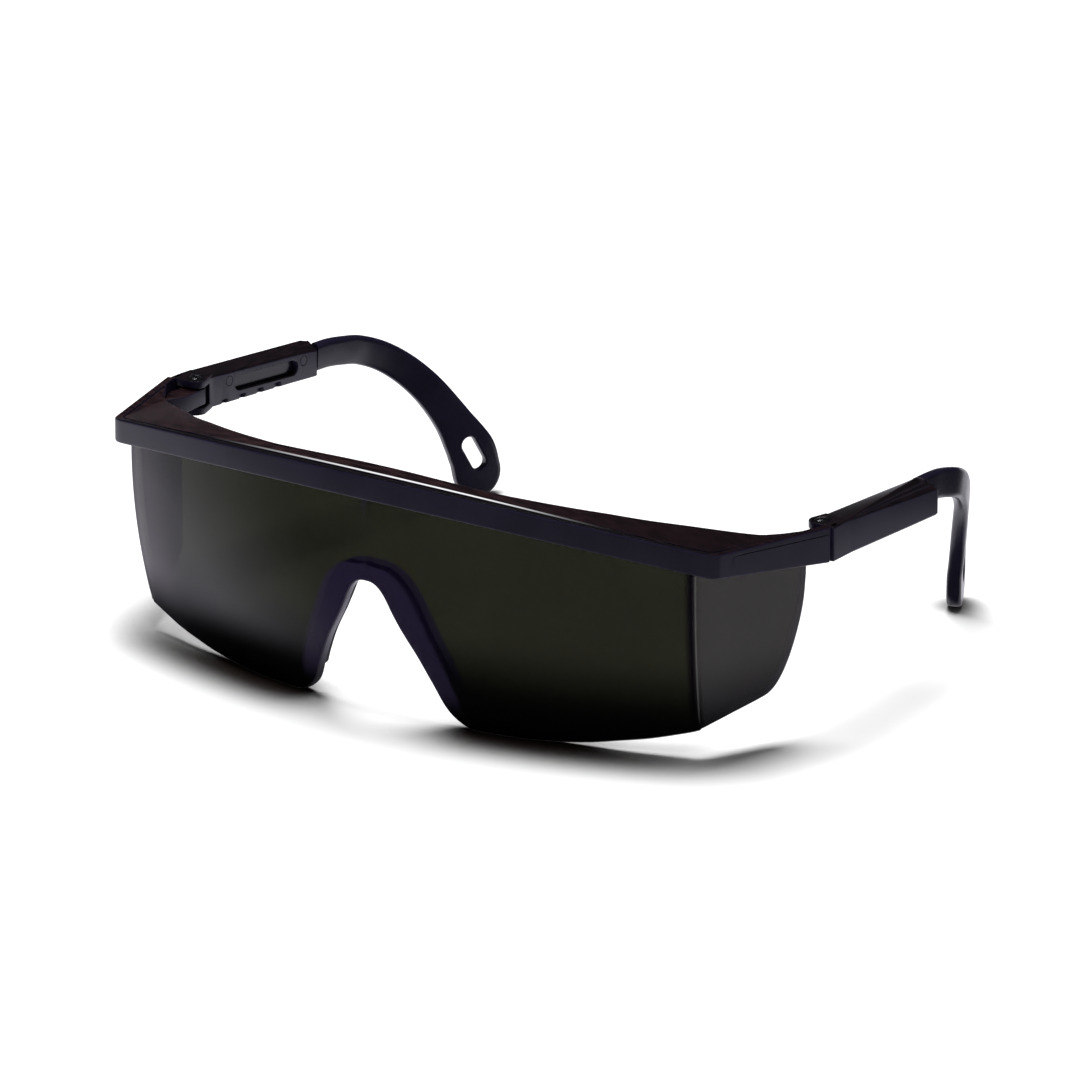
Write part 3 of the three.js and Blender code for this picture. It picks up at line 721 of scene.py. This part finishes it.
def wall_ring(i):
    x, y = BROW_PATH[i]
    top = top_z(x, y)
    bottom = top - BAND_H - (0.086 * y - 0.07) * smooth(y / 2.0)
    end = smooth((y - (SIDE_END_Y - 0.3)) / 0.3) * 0.22 if y > 20 else 0.0
    top, bottom = top - end, bottom + end
    outer, inner = end, wall_thickness(x) - end
    # parting line below the top edge of the side wall
    part = top - (1.07 + 0.48 * min(1.0, max(0.0, (y - 5.7) / 23.2)))
    groove = 0.16 * smooth((y - 4.5) / 2.0) if y > 0 else 0.0
    chamfer, top_r, bottom_r = 0.14, 0.42, 0.5
    profile = [(outer + top_r * c, top - top_r * s) for s, c in quarter(6)]
    profile += [(inner - chamfer, top), (inner, top - chamfer),
                (inner, bottom + chamfer), (inner - chamfer, bottom)]
    profile += [(outer + bottom_r * s, bottom + bottom_r * c) for s, c in quarter(6)]
    profile += [(outer, part - 0.13), (outer + groove * 0.8, part - 0.05),
                (outer + groove, part), (outer + groove * 0.3, part + 0.05),
                (outer, part + 0.12)]
    return [brow_point(i, d, z) for d, z in profile]


def ledge_front(x):
    """Front edge of the ledge, buried in the wall; x is positive."""
    lap, side_lap = 0.75, 0.73
    if x <= 68:
        return bow_y(x, BAND_Y) + lap
    if x >= 71.9:
        return side_y(x + side_lap)
    t = (x - 68) / 3.9
    return ((bow_y(68, BAND_Y) + lap) * (1 - t) ** 2 + 2 * t * (1 - t) * 0.9
            + t * t * side_y(71.9 + side_lap))


def ledge_ring(x):
    front = ledge_front(abs(x))
    rear = max(front + 0.35, LEDGE_REAR(abs(x)))
    bottom = -LEDGE_T + LEDGE_DROP
    r = min(0.55, (rear - front) * 0.4)
    r2 = min(0.45, r)
    points = [(front + (rear - r - front) * k / 12, 0.0) for k in range(13)]
    points += [(rear - r * s, -r * c) for s, c in quarter(5)[1:]]
    points += [(rear - r2 * c, bottom + r2 * s) for s, c in quarter(5)]
    points += [(rear - r2 + (front - rear + r2) * k / 6, bottom) for k in range(1, 7)]
    return [(x, y, top_z(x, y) - LEDGE_DROP + z) for y, z in points]


def groove_ring(i):
    """Crescent groove, running out into a fine line round the corners."""
    x, y = BROW_PATH[i]
    span = max(0.0, 1 - (x / GROOVE_HALF) ** 2) if y < 5 else 0.0
    near = wall_thickness(x) + 0.01
    far = near + 0.05 + max(GROOVE_W * span, 0.42)
    deep = LEDGE_DROP + 0.34 + 0.42 * span
    section = [(near, 1), (far, 1), (far, -deep + 0.12), (far - 0.12, -deep),
               (near + 0.12, -deep), (near, -deep + 0.12)]
    return [brow_point(i, d, top_z(x, y) + z) for d, z in section]


def knuckle():
    """Hinge knuckle on the right side wall."""
    r = 2.1
    plan = circle(HINGE_X, HINGE_Y, r, 24, 0, math.pi)
    plan += [(HINGE_X - r, 26.0), (75.6, 22.4), (78.3, 26.2), (HINGE_X + r, 29.6)]
    piece = prism(plan, -6.6, -3.1, rim=0.22)
    cut_hinge_hole(piece)
    return piece


def make_brow():
    brow = solid([wall_ring(i) for i in range(len(BROW_PATH))])
    ledge = solid([ledge_ring(-LEDGE_REACH + 2 * LEDGE_REACH * k / 190) for k in range(191)])
    # rib under the ledge, behind the lens
    section = fillet([(3.9, -1.0), (5.2, -1.0), (5.2, -4.2), (3.9, -4.2)], 0.3, 3)
    rib = solid([[brow_point(i, d, top_z(x, y) + z) for d, z in section]
                 for i, (x, y) in enumerate(BROW_PATH) if abs(x) <= 64.1 and y < 10])
    right = knuckle()
    join(brow, ledge, rib, right, copy_mirrored(right))
    cut(brow, solid([groove_ring(i) for i, (x, y) in enumerate(BROW_PATH) if y < 23.6]))
    for side in (-1, 1):
        centre = (side * 71.9, 7.2, top_z(71.9, 7.2) - LEDGE_DROP)
        cut_ring_mark(brow, centre, (0, 0.026, 1), radius=0.95, width=0.22, deep=0.12)
    place(brow, "brow_frame_moulding", "front", "brow_frame", BROW, angle=32)


make_brow()

# ----------------------------------------------------------------------- lens
# The lens is drawn flat: s runs along its outer face in plan, from 0 at the
# middle, and z is the height.

# lower outline, right half: nose arch and foot as (x, z), shield as (y, z)
ARCH_KEYS = [
    (0, -15.5), (1.4, -15.65), (2.6, -16.3), (3.7, -17.5), (4.7, -19.2), (5.6, -21.1),
    (7.2, -24.1), (8.9, -26.9), (10.6, -29.7), (12.2, -32.9), (13.7, -36.1), (15.0, -39.2),
    (16.2, -41.2), (17.8, -42.8), (19.7, -44.0), (21.8, -44.5)]
FOOT_KEYS = [
    (31, -44.5), (37, -44.1), (45, -43.15), (51, -42.0), (57.2, -40.85), (63.0, -39.35),
    (66.05, -38.45)]
SHIELD_KEYS = [
    (25.8, -10.2), (25.5, -16.0), (24.6, -21.8), (23.2, -27.6), (21.9, -31.0),
    (20.7, -32.9), (19.4, -34.0), (17.8, -34.6), (11.6, -36.3), (4.9, -38.15)]


def lens_half_path():
    path = [(k * 0.6, bow_y(k * 0.6, LENS_Y)) for k in range(110)]
    fold_y = bow_y(FOLD_X, LENS_Y)
    path += bezier((66.4, bow_y(66.4, LENS_Y)), (FOLD_X, fold_y),
                   (FOLD_X + SHIELD_SLOPE * 1.3, fold_y + 1.3), 12)
    shield = [2.0 + 0.8 * k for k in range(33)]
    return path + [(FOLD_X + SHIELD_SLOPE * (y - fold_y), y) for y in shield]


LENS_PATH = mirrored(lens_half_path())
LENS_NORMALS = normals(LENS_PATH)
LENS_MID = len(LENS_PATH) // 2


def lens_runs():
    runs = [0.0]
    for a, b in zip(LENS_PATH, LENS_PATH[1:]):
        runs.append(runs[-1] + math.hypot(b[0] - a[0], b[1] - a[1]))
    return [run - runs[LENS_MID] for run in runs]


LENS_S = lens_runs()


def lens_at(s):
    """Plan position and unit normal at s."""
    s = max(LENS_S[0], min(LENS_S[-1] - 1e-6, s))
    i = min(bisect_right(LENS_S, s) - 1, len(LENS_S) - 2)
    t = (s - LENS_S[i]) / (LENS_S[i + 1] - LENS_S[i])
    (x, y), (nx, ny) = [[run[i][k] * (1 - t) + run[i + 1][k] * t for k in (0, 1)]
                        for run in (LENS_PATH, LENS_NORMALS)]
    length = math.hypot(nx, ny)
    return x, y, nx / length, ny / length


def s_where(axis, value):
    """s on the right half where x (axis 0) or y (axis 1) reaches value."""
    for i in range(LENS_MID, len(LENS_PATH) - 1):
        here, there = LENS_PATH[i][axis], LENS_PATH[i + 1][axis]
        if there >= value:
            t = (value - here) / (there - here)
            return LENS_S[i] + (LENS_S[i + 1] - LENS_S[i]) * t
    return LENS_S[-1]


S_FOLD = s_where(0, FOLD_X)


def tuck(z):
    """Share of the full tuck at height z."""
    return max(0.0, (-5 - z) / 35) ** 2


def side_share(x):
    """Share of the sideways tuck, from none on the front to all at the fold."""
    return smooth((abs(x) - 50) / 17)


def lens_point(s, depth, z):
    x, y, nx, ny = lens_at(s)
    if depth < 0.5:      # fine groove in the outer face beside the fold
        groove = math.exp(-((abs(s) - S_FOLD + 0.75) / 0.16) ** 2)
        depth += 0.13 * groove * (1 - depth / 0.5)
    k = tuck(z)
    draw_in = math.copysign(LENS_TUCK_X * side_share(x) * k, x)
    return (x + nx * depth - draw_in, y + ny * depth + LENS_TUCK * k, z)


def front_sz(x, z):
    """(s, z) of an outline point given by x, solved for the tuck."""
    u = x
    for _ in range(6):
        u = x + LENS_TUCK_X * side_share(u) * tuck(z)
    return (s_where(0, u), z)


def shield_sz(y, z):
    return (s_where(1, y - LENS_TUCK * tuck(z)), z)


def lens_outline():
    """Closed outline in (s, z), with points at most 1.2 apart."""
    arch = catmull([(-1.4, -15.65)] + ARCH_KEYS, 4)[4:]
    s_top = s_where(1, 20.4)
    half = []
    s = 0.0
    while s < s_top - 0.8:
        x, y = lens_at(s)[:2]
        half.append((s, top_z(x, y) - LEDGE_T - 0.32))
        s += 1.2
    x, y = lens_at(s_top)[:2]
    top = top_z(x, y) - 2.22
    # stepped upper corner of the shield, without the fillets of the helper corners
    corner = [(s_top - 3, top), (s_top, top), (s_top, -7.0), shield_sz(25.8, -7.35),
              shield_sz(25.8, -9.6), (s_top - 3, -9.6)]
    half += fillet(corner, [0.01, 0.9, 0.8, 0.8, 0.01, 0.01], 5)[6:24]
    half += [shield_sz(*p) for p in catmull(SHIELD_KEYS, 5)]
    half += [front_sz(*p) for p in catmull(FOOT_KEYS, 6)[::-1]]
    half += [(s_where(0, x), z) if x > 0 else (0.0, z) for x, z in arch[::-1]]
    loop = half + [(-s, z) for s, z in half[-2:0:-1]]
    dense = []
    for i in range(len(loop)):
        a, b = Vector(loop[i]), Vector(loop[(i + 1) % len(loop)])
        if (b - a).length < 0.02:
            continue
        n = max(1, math.ceil((b - a).length / 1.2))
        dense += [tuple(a.lerp(b, j / n)) for j in range(n)]
    return dense


def inside(p, poly):
    within = False
    for i in range(len(poly)):
        (x1, y1), (x2, y2) = poly[i - 1], poly[i]
        if (y1 > p[1]) != (y2 > p[1]) and p[0] < (x2 - x1) * (p[1] - y1) / (y2 - y1) + x1:
            within = not within
    return within


def lens_grid(outline):
    """Points inside the outline, in columns that close up at the fold."""
    columns = []
    s = 0.9
    while s < LENS_S[-1]:
        columns += [s, -s]
        s += 0.17 if abs(s - S_FOLD + 0.3) < 2.2 else 1.9
    rim = [Vector(p) for p in outline]
    points = []
    for s in sorted(columns):
        z = 5.0
        close = [p for p in rim if abs(p.x - s) < 1.3]
        while z > -44.6:
            z -= 2.4
            clear = all((p - Vector((s, z))).length > 0.55 for p in close)
            if clear and inside((s, z), outline):
                points.append((s, z))
    return points


def make_lens():
    dense = lens_outline()
    count = len(dense)
    inner = inset(dense, LENS_RIM)
    flat = inner + lens_grid(inner)
    loop = [(i, (i + 1) % count) for i in range(count)]
    points, _, triangles, sources, _, _ = delaunay_2d_cdt(
        [Vector(p) for p in flat], loop, [], 1, 1e-6)
    if len(points) != len(flat):
        raise RuntimeError("lens outline crosses itself")
    front = [0] * count
    for i, source in enumerate(sources):
        for q in source:
            if q < count:
                front[q] = i
    n = len(points)
    verts = [lens_point(p.x, depth, p.y) for depth in (0, LENS_T) for p in points]
    runs = [abs(p.x) for p in points] * 2
    rim = [0.0] * (2 * n)
    faces = [tuple(f) for f in triangles] + [tuple(n + i for i in f[::-1]) for f in triangles]
    # rounded edge from the outer face to the inner one
    steps = [(LENS_RIM * s, LENS_RIM * c) for s, c in quarter(4)[1:]]
    steps += [(shrink, LENS_T - depth) for shrink, depth in steps[::-1]]
    rings = [front]
    for shrink, depth in steps:
        rings.append(list(range(len(verts), len(verts) + count)))
        ring = inset(dense, shrink)
        verts += [lens_point(s, depth, z) for s, z in ring]
        runs += [abs(s) for s, z in ring]
        rim += [1.0] * count
    rings.append([n + i for i in front])
    for a, b in zip(rings, rings[1:]):
        faces += [(a[i], a[j], b[j], b[i]) for i, j in loop]
    mesh = bpy.data.meshes.new("lens")
    mesh.from_pydata(verts, [], faces)
    # masks for the material: bands at the fold, the shield and the cut edge, which carry
    # painted shade and highlights
    masks = {
        "fold": [math.exp(-((s - S_FOLD + 0.62) / 0.26) ** 2) for s in runs],
        "crease_highlight": [math.exp(-((s - S_FOLD + 0.05) / 0.15) ** 2) for s in runs],
        "shield": [smooth((s - S_FOLD + 0.25) / 0.3) for s in runs],
        "rim": rim}
    for name, values in masks.items():
        mesh.attributes.new(name, "FLOAT", "POINT").data.foreach_set("value", values)
    lens = mesh_object(mesh, merge=False)
    place(lens, "lens_wraparound", "front", "lens", LENS, angle=60)


make_lens()


# ------------------------------------------------------------------ nosepiece
def lens_rear(x, z):
    return bow_y(x, LENS_Y) + LENS_TUCK * tuck(z) + LENS_T * 1.06 + 0.3


def make_nose():
    pairs = list(zip(*[catmull(mirrored(keys), 6) for keys in (NOSE_IN, NOSE_OUT)]))
    rings = []
    for j, (a, b) in enumerate(pairs):
        from_end = min(j, len(pairs) - 1 - j)
        shrink = 1 - 0.55 * (1 - min(1.0, from_end / 3)) ** 2
        c = (a + b) / 2
        a, b = c.lerp(a, shrink), c.lerp(b, shrink)
        width = (b - a).length
        across = (b - a).normalized()
        # section: (distance across, distance behind the lens)
        section = fillet([(0, 0.1), (width * 0.5, 0.15), (width, 0.9), (width, 2.0),
                          (width * 0.5, 1.7), (0, 1.9)], [0.35, 1.0, 0.5, 0.45, 1.0, 0.6])
        ring = []
        for u, back in section:
            p = a + across * u
            back = 1.0 + (back - 1.0) * (0.6 + 0.4 * shrink)
            ring.append((p.x, lens_rear(p.x, p.y) + back, p.y))
        rings.append(ring)
    place(solid(rings), "nosepiece_saddle", "front", "nosepiece", NOSE, angle=45)


make_nose()

# -------------------------------------------------------------------- sleeves
INNER_FACE = 6.0       # depth of the sleeve's inner face
CHANNEL = (3.0, 4.7)   # depths of the two walls of its channel
CHANNEL_HALF_H = 2.1


def out_x(y):
    """Outer face of the sleeve."""
    return 80.0 - 0.06 * (y - 30)


def sleeve_point(depth, y, z):
    return (out_x(y) - depth, y, z)


def lane_z(y):
    """Middle height of the channel."""
    return -6.95 - 0.05 * (y - 70)


def bevel(y):
    """Share of the length, foot height of the top bevel, and its ridge's height and depth."""
    t = (y - 35) / 35
    return t, -1.55 - 4.0 * t, -1.2 - 1.55 * t, 0.45 + 2.85 * max(0.0, t)


def sleeve_ring(y, shrink=0.0):
    t, foot, ridge, ridge_depth = bevel(y)
    ramp = max(0.0, (y - 67.6) / 3) * 0.75
    ridge -= ramp
    inner_top = -1.3 - 3.0 * t - ramp * 0.3
    bottom, inner_bottom = -8.55 - 2.5 * t, -7.95 - 2.2 * t
    # two fine ribs run along the top bevel
    a, b = Vector((ridge_depth, ridge)), Vector((0.0, foot))
    n = Vector((-(b - a).y, (b - a).x)).normalized()
    if n.y < 0:
        n = -n
    height = 0.13 * smooth((y - 38) / 6) * smooth((69.5 - y) / 2)
    ribs = [tuple(b + (a - b) * (middle - half) + n * height * up)
            for middle in (0.62, 0.36)
            for half, up in ((-0.055, 0), (-0.02, 1), (0.02, 1), (0.055, 0))]
    ribs.sort(key=lambda q: q[0])
    section = [(0, foot), *ribs, (ridge_depth, ridge), (5.6, inner_top),
               (INNER_FACE, inner_top - 0.4), (INNER_FACE, inner_bottom),
               (5.1, inner_bottom - 0.35), (0.5, bottom), (0, bottom + 0.5)]
    radii = [0.3] + [0.02] * len(ribs) + [0.35, 0.3, 0.3, 0.3, 0.35, 0.4, 0.3]
    section = inset(fillet(section, radii, 3), shrink)
    skew = smooth((y - 60.0) / 9.0)     # the rear end is cut at a slant
    return [(out_x(y) - d, y + skew * (0.95 - d * 0.33), z) for d, z in section]


def cheek_ring(y, shrink=0.0):
    """Outer cheek that covers the hinge and blends into the sleeve's bevel."""
    k = smooth((y - 32.5) / 4)
    _, foot, ridge, ridge_depth = bevel(y)
    low = -1.42 * (1 - k) + (foot + 0.02) * k
    high = -1.15 * (1 - k) + (ridge + 0.01) * k
    depth = 0.3 * (1 - k) + ridge_depth * k
    bottom = -8.25 - 0.05 * (y - 30) * 0.6
    section = fillet([(-0.001, low), (depth, high), (1.3, high), (1.3, bottom),
                      (-0.001, bottom)], [0.2, 0.2, 0.1, 0.1, 0.35], 3)
    return [sleeve_point(d, y, z) for d, z in inset(section, shrink)]


def channel_ring(y, slack):
    near, far = CHANNEL[0] - slack, CHANNEL[1] + slack
    c, h = lane_z(y), CHANNEL_HALF_H + slack
    return [sleeve_point(d, y, z)
            for d, z in ((near, c + h), (far, c + h), (far, c - h), (near, c - h))]


def window_ring(r, depth):
    """Long window in the inner face, falling towards the rear."""
    outline = half_circle(44.6, r, math.pi / 2) + half_circle(61.4, r, -math.pi / 2)
    return [sleeve_point(depth, y, z + (lane_z(y) + 0.65 - 0.65 * (y - 43) / 20))
            for y, z in outline]


def make_sleeves():
    stations = [35.0] + [36.5 + 1.6 * k for k in range(19)] + [66.6, 67.6, 68.4, 69.2, 69.9]
    rounded_end = ((70.15, 0.06), (70.35, 0.2), (70.5, 0.38), (70.6, 0.55))
    sleeve = solid([sleeve_ring(y) for y in stations]
                   + [sleeve_ring(y, shrink) for y, shrink in rounded_end])
    rounded_start = ((29.8, 0.28), (29.86, 0.12), (30.0, 0.02))
    cheek = solid([cheek_ring(y, shrink) for y, shrink in rounded_start]
                  + [cheek_ring(30.3 + 0.62 * k) for k in range(11)])
    lug = [(out_x(30.4) - 0.35, 30.4), (out_x(36) - 0.35, 36.2), (out_x(36) - 5.7, 36.2)]
    lug += circle(HINGE_X, HINGE_Y, 2.5, 24, math.pi, 1.5 * math.pi)
    lug += [(HINGE_X + 1.2, 30.0)]
    join(sleeve, cheek, prism(lug, -2.75, -1.15, rim=0.2), prism(lug, -8.45, -6.95, rim=0.2))
    cut_hinge_hole(sleeve)
    # screw seat and its rounded rim
    cut(sleeve, prism(circle(HINGE_X, HINGE_Y, 1.7), -1.95, 1))
    cut(sleeve, turned([(1.65, -1.5), (1.74, -1.34), (1.86, -1.22), (2.05, -1.13),
                        (2.4, -0.9)]))
    cut(sleeve, solid([channel_ring(39.0, 0.3), channel_ring(95.0, 0.3)]))
    flare = ((1.5, 4.5), (1.5, 5.72), (1.56, 5.85), (1.7, 5.95), (1.95, 6.15), (1.95, 7.5))
    cut(sleeve, solid([window_ring(r, depth) for r, depth in flare]))
    # four notches in the inner face, open at the bottom
    for k in range(4):
        y = 39.9 + 5.6 * k
        z = lane_z(y) - 1.92
        notch = fillet([(y - 1.15, z - 4), (y + 1.7, z - 4), (y + 0.95, z), (y - 1.15, z)],
                       [0.01, 0.01, 0.35, 0.3])
        cut(sleeve, solid([[sleeve_point(d, *p) for p in notch] for d in (4.8, 9.0)]))
    # round marks on the inner face, one at each end
    for y, z in ((41.3, -3.9), (64.9, -5.8)):
        cut_ring_mark(sleeve, sleeve_point(INNER_FACE, y, z), (-1, -0.06, 0),
                      radius=1.05, width=0.32, deep=0.22)
    place_pair(sleeve, "sleeve_{}_moulding", "sleeve_{}", "sleeve_{}", SLEEVE)


make_sleeves()

# ----------------------------------------------------------------- ear pieces
# centre line of the right ear piece: (x, y, z)
ARM_KEYS = [
    sleeve_point(4.35, 71.1, -6.75), sleeve_point(4.35, 75, -7.0),
    sleeve_point(4.6, 79.4, -7.65),
    (72.3, 84.5, -8.9), (70.5, 89.9, -11.3), (68.1, 94.8, -15.0), (65.4, 98.9, -19.7),
    (63.0, 102.2, -25.0), (60.9, 105.0, -30.6), (59.4, 106.85, -35.2),
    (58.85, 107.62, -39.15)]
TIP_W = 10.5
# width: (share of the length, width)
ARM_WIDTH = pchip([(0, 5.8), (0.25, 6.1), (0.5, 6.6), (0.68, 7.2), (0.77, 7.9),
                   (0.86, 9.5), (0.92, 10.4), (1, TIP_W)])
ARM_STEPS = 104
ARM_LINE = spaced(catmull(ARM_KEYS, 24), ARM_STEPS)
# rounded tip: angles of its stations in degrees
TIP_ANGLES = (5, 10, 16, 22, 28, 34, 40, 46, 52, 58, 63, 68, 73, 77, 81, 84, 86.5, 88.5)
# cord slot: (radius, distance from the middle of the thickness), rounded at its rim
CORD_SLOT = [(1.6, 0.4), (1.64, 0.8), (1.76, 1.15), (1.96, 1.42), (2.22, 1.75), (2.4, 6)]


def arm_frame(i):
    """Centre, direction, thickness axis and width axis at a station."""
    t = (ARM_LINE[min(ARM_STEPS, i + 4)] - ARM_LINE[max(0, i - 4)]).normalized()
    twist = math.radians(3.4 + (27 - 3.4) * smooth((i / ARM_STEPS - 0.12) / 0.45))
    side = Vector((math.cos(twist), math.sin(twist), 0))
    n = (side - t * side.dot(t)).normalized()
    return ARM_LINE[i], t, n, t.cross(n).normalized()


def arm_ring(frame, width, thick, shift=0.0):
    p, t, n, across = frame
    w, h = width / 2, thick / 2
    section = fillet([(w, h), (-w, h), (-w, -h), (w, -h)], min(1.15, w * 0.95, h * 0.95), 7)
    return [tuple(p + t * shift + across * a + n * b) for a, b in section]


def make_arms():
    rings = []
    for i in range(ARM_STEPS + 1):
        s = i / ARM_STEPS
        ring = arm_ring(arm_frame(i), ARM_WIDTH(s), 2.6 + 0.5 * smooth((s - 0.25) / 0.4))
        # the first rings lean to meet the slanted end of the sleeve
        lean = (1.0, 0.72, 0.46, 0.24, 0.08)[i] if i < 5 else 0.0
        rings.append([(x, y - lean * (0.26 + 0.33 * max(0.0, out_x(y) - x - 3.05)), z)
                      for x, y, z in ring])
    tip = arm_frame(ARM_STEPS)
    for degrees in TIP_ANGLES:
        a = math.radians(degrees)
        thin = max(0.0, (degrees - 50) / 38)
        rings.append(arm_ring(tip, TIP_W * math.cos(a), 3.1 * (1 - 0.45 * thin ** 2.2),
                              math.sin(a) * TIP_W / 2))
    arm = solid(rings)
    # tongue that fills the sleeve's channel
    tongue = ((40.6, -0.12), (40.8, -0.02), (41.0, 0.0), (72.6, 0.0))
    join(arm, solid([channel_ring(y, slack) for y, slack in tongue]))
    p, t, n, across = arm_frame(ARM_STEPS - 12)
    middle, half = 2.2, 2.2
    rings = []
    for r, c in [(r, -c) for r, c in CORD_SLOT[::-1]] + CORD_SLOT:
        outline = half_circle(middle + half, r, -math.pi / 2)
        outline += half_circle(middle - half, r, math.pi / 2)
        rings.append([tuple(p + t * a + across * b + n * c) for a, b in outline])
    cut(arm, solid(rings))
    place_pair(arm, "ear_piece_{}", "arm_{}", "arm_{}", ARM)


make_arms()

# --------------------------------------------------------------------- screws
# shank, then domed head: (radius, z)
SCREW_PROFILE = [
    (0.62, -8.4), (0.8, -8.25), (0.8, -1.8), (1.45, -1.8), (1.55, -1.72), (1.55, -1.28),
    (1.5, -1.2), (1.38, -1.12), (1.15, -1.02), (0.85, -0.94), (0.5, -0.89), (0.2, -0.87)]


def make_screws():
    screw = turned(SCREW_PROFILE)
    turn = 0.5      # of the driver slot, in radians
    c, s = math.cos(turn), math.sin(turn)
    slot = fillet([(-2, -0.2), (2, -0.2), (2, 0.2), (-2, 0.2)], 0.01, 1)
    cut(screw, solid([[(HINGE_X + a * c - b * s, HINGE_Y + a * s + b * c, z)
                       for a, b in slot] for z in (-1.3, 0)]))
    place_pair(screw, "hinge_screw_{}", "sleeve_{}", "screw_{}", STEEL)


make_screws()


# ---------------------------------------------------------------------- stage
def floor_material():
    mat = material("pale_floor")
    x, y, z = mat.position()
    path = mat.node("LightPath")
    grain = mat.noise(mat.point, scale=0.02, detail=2, rough=0.5)
    # deep, soft contact shade, weaker towards the rear
    contact = mat.node("AmbientOcclusion", {"Distance": 0.017}, samples=16)
    far = y.ramp(off=35.0, on=50.0) * 0.28
    shade = mat.value(contact, "AO").ramp(off=0.50, on=0.95) * far.inverse() + far
    color = mat.mix(grain, (0.86, 0.86, 0.865), (0.88, 0.88, 0.88))
    color = mat.mix(shade, (0.020, 0.014, 0.012), color)
    seen = mat.principled(color, rough=0.9, spec=0.0)
    # what the pieces mirror, by the ray's direction: dark for rays that head
    # forwards, with separate tones for those that head to -X and to +X
    incoming = mat.separate(mat.node("NewGeometry").outputs["Incoming"])
    ray_x, ray_y = incoming[0] * -1.0, incoming[1] * -1.0
    left = ray_y.ramp(off=-0.68, on=-0.05) * (x.ramp(off=-215.0, on=-90.0) * 0.45 + 0.80)
    right = ray_y.ramp(off=-0.05, on=0.55) * (x.ramp(off=115.0, on=40.0) * 0.90 + 0.32)
    right = right * (y.ramp(off=172.0, on=138.0) * 0.80 + 0.20)
    side = ray_x.ramp(off=-0.35, on=0.05)
    lit = (left * side.inverse() + right * side) * shade
    mirror = mat.emission(mat.mix(lit, (0.0, 0.0, 0.0), (1.0, 0.97, 1.06)))
    return mat.finish(mat.mix_shader(path.outputs["Is Glossy Ray"], seen, mirror))


def make_floor():
    mesh = bpy.data.meshes.new("floor")
    mesh.from_pydata([(-4, -4, 0), (4, -4, 0), (4, 8, 0), (-4, 8, 0)], [], [(0, 1, 2, 3)])
    mesh.materials.append(floor_material())
    link_object("floor", mesh)


def area(name, at, target, size, watts, glossy=True):
    """Area light in metres, aimed at target."""
    light = bpy.data.lights.new(name, "AREA")
    light.shape = "RECTANGLE"
    light.size, light.size_y = size
    light.energy = watts
    o = link_object(name, light)
    o.location = at
    o.rotation_mode = "QUATERNION"
    o.rotation_quaternion = (Vector(target) - Vector(at)).to_track_quat("-Z", "Y")
    o.visible_glossy = glossy


def make_world():
    world = bpy.data.worlds.new("studio")
    scene.world = world
    sky = Nodes(world, "OutputWorld")
    ambient = sky.node("Background", {"Color": (1, 1, 1), "Strength": 0.13})
    mirrored_sky = sky.node("Background", {"Color": (0.9, 0.9, 1.0), "Strength": 0.02})
    glossy = sky.node("LightPath").outputs["Is Glossy Ray"]
    sky.finish(sky.mix_shader(glossy, ambient, mirrored_sky))


def make_camera():
    """Long lens from the front, on the +X side, looking down."""
    azimuth, elevation = math.radians(34.85), math.radians(18.977)
    distance = 2.19066
    target = Vector((0, (30 - MID_Y) / 1000, BROW_Z / 1000))
    back = Vector((math.sin(azimuth) * math.cos(elevation),
                   -math.cos(azimuth) * math.cos(elevation), math.sin(elevation)))
    right = Vector((math.cos(azimuth), math.sin(azimuth), 0))
    camera = bpy.data.cameras.new("camera")
    camera.sensor_width = 36.0
    camera.lens = 369.67
    camera.shift_x = 0.04125
    camera.shift_y = -0.08793
    camera.clip_start = 0.05
    camera.clip_end = 30
    o = link_object("camera", camera)
    turn = Matrix((right, back.cross(right), back)).transposed().to_4x4()
    o.matrix_world = Matrix.Translation(target + back * distance) @ turn
    scene.camera = o


make_floor()
area("key_overhead", at=(-0.15, 0.05, 1.5), target=(0, 0, 0), size=(0.84, 0.70), watts=37.5,
     glossy=False)
area("fill_front", at=(0.4, -1.3, 1.0), target=(0, 0, 0.02), size=(0.9, 0.6), watts=1.0,
     glossy=False)
area("glint", at=(-0.50, 0.55, 1.15), target=(0, 0, 0.03), size=(0.20, 0.10), watts=0.35)
make_world()
scene.view_settings.view_transform = "Standard"
scene.view_settings.look = "None"
make_camera()

bpy.context.view_layer.update()
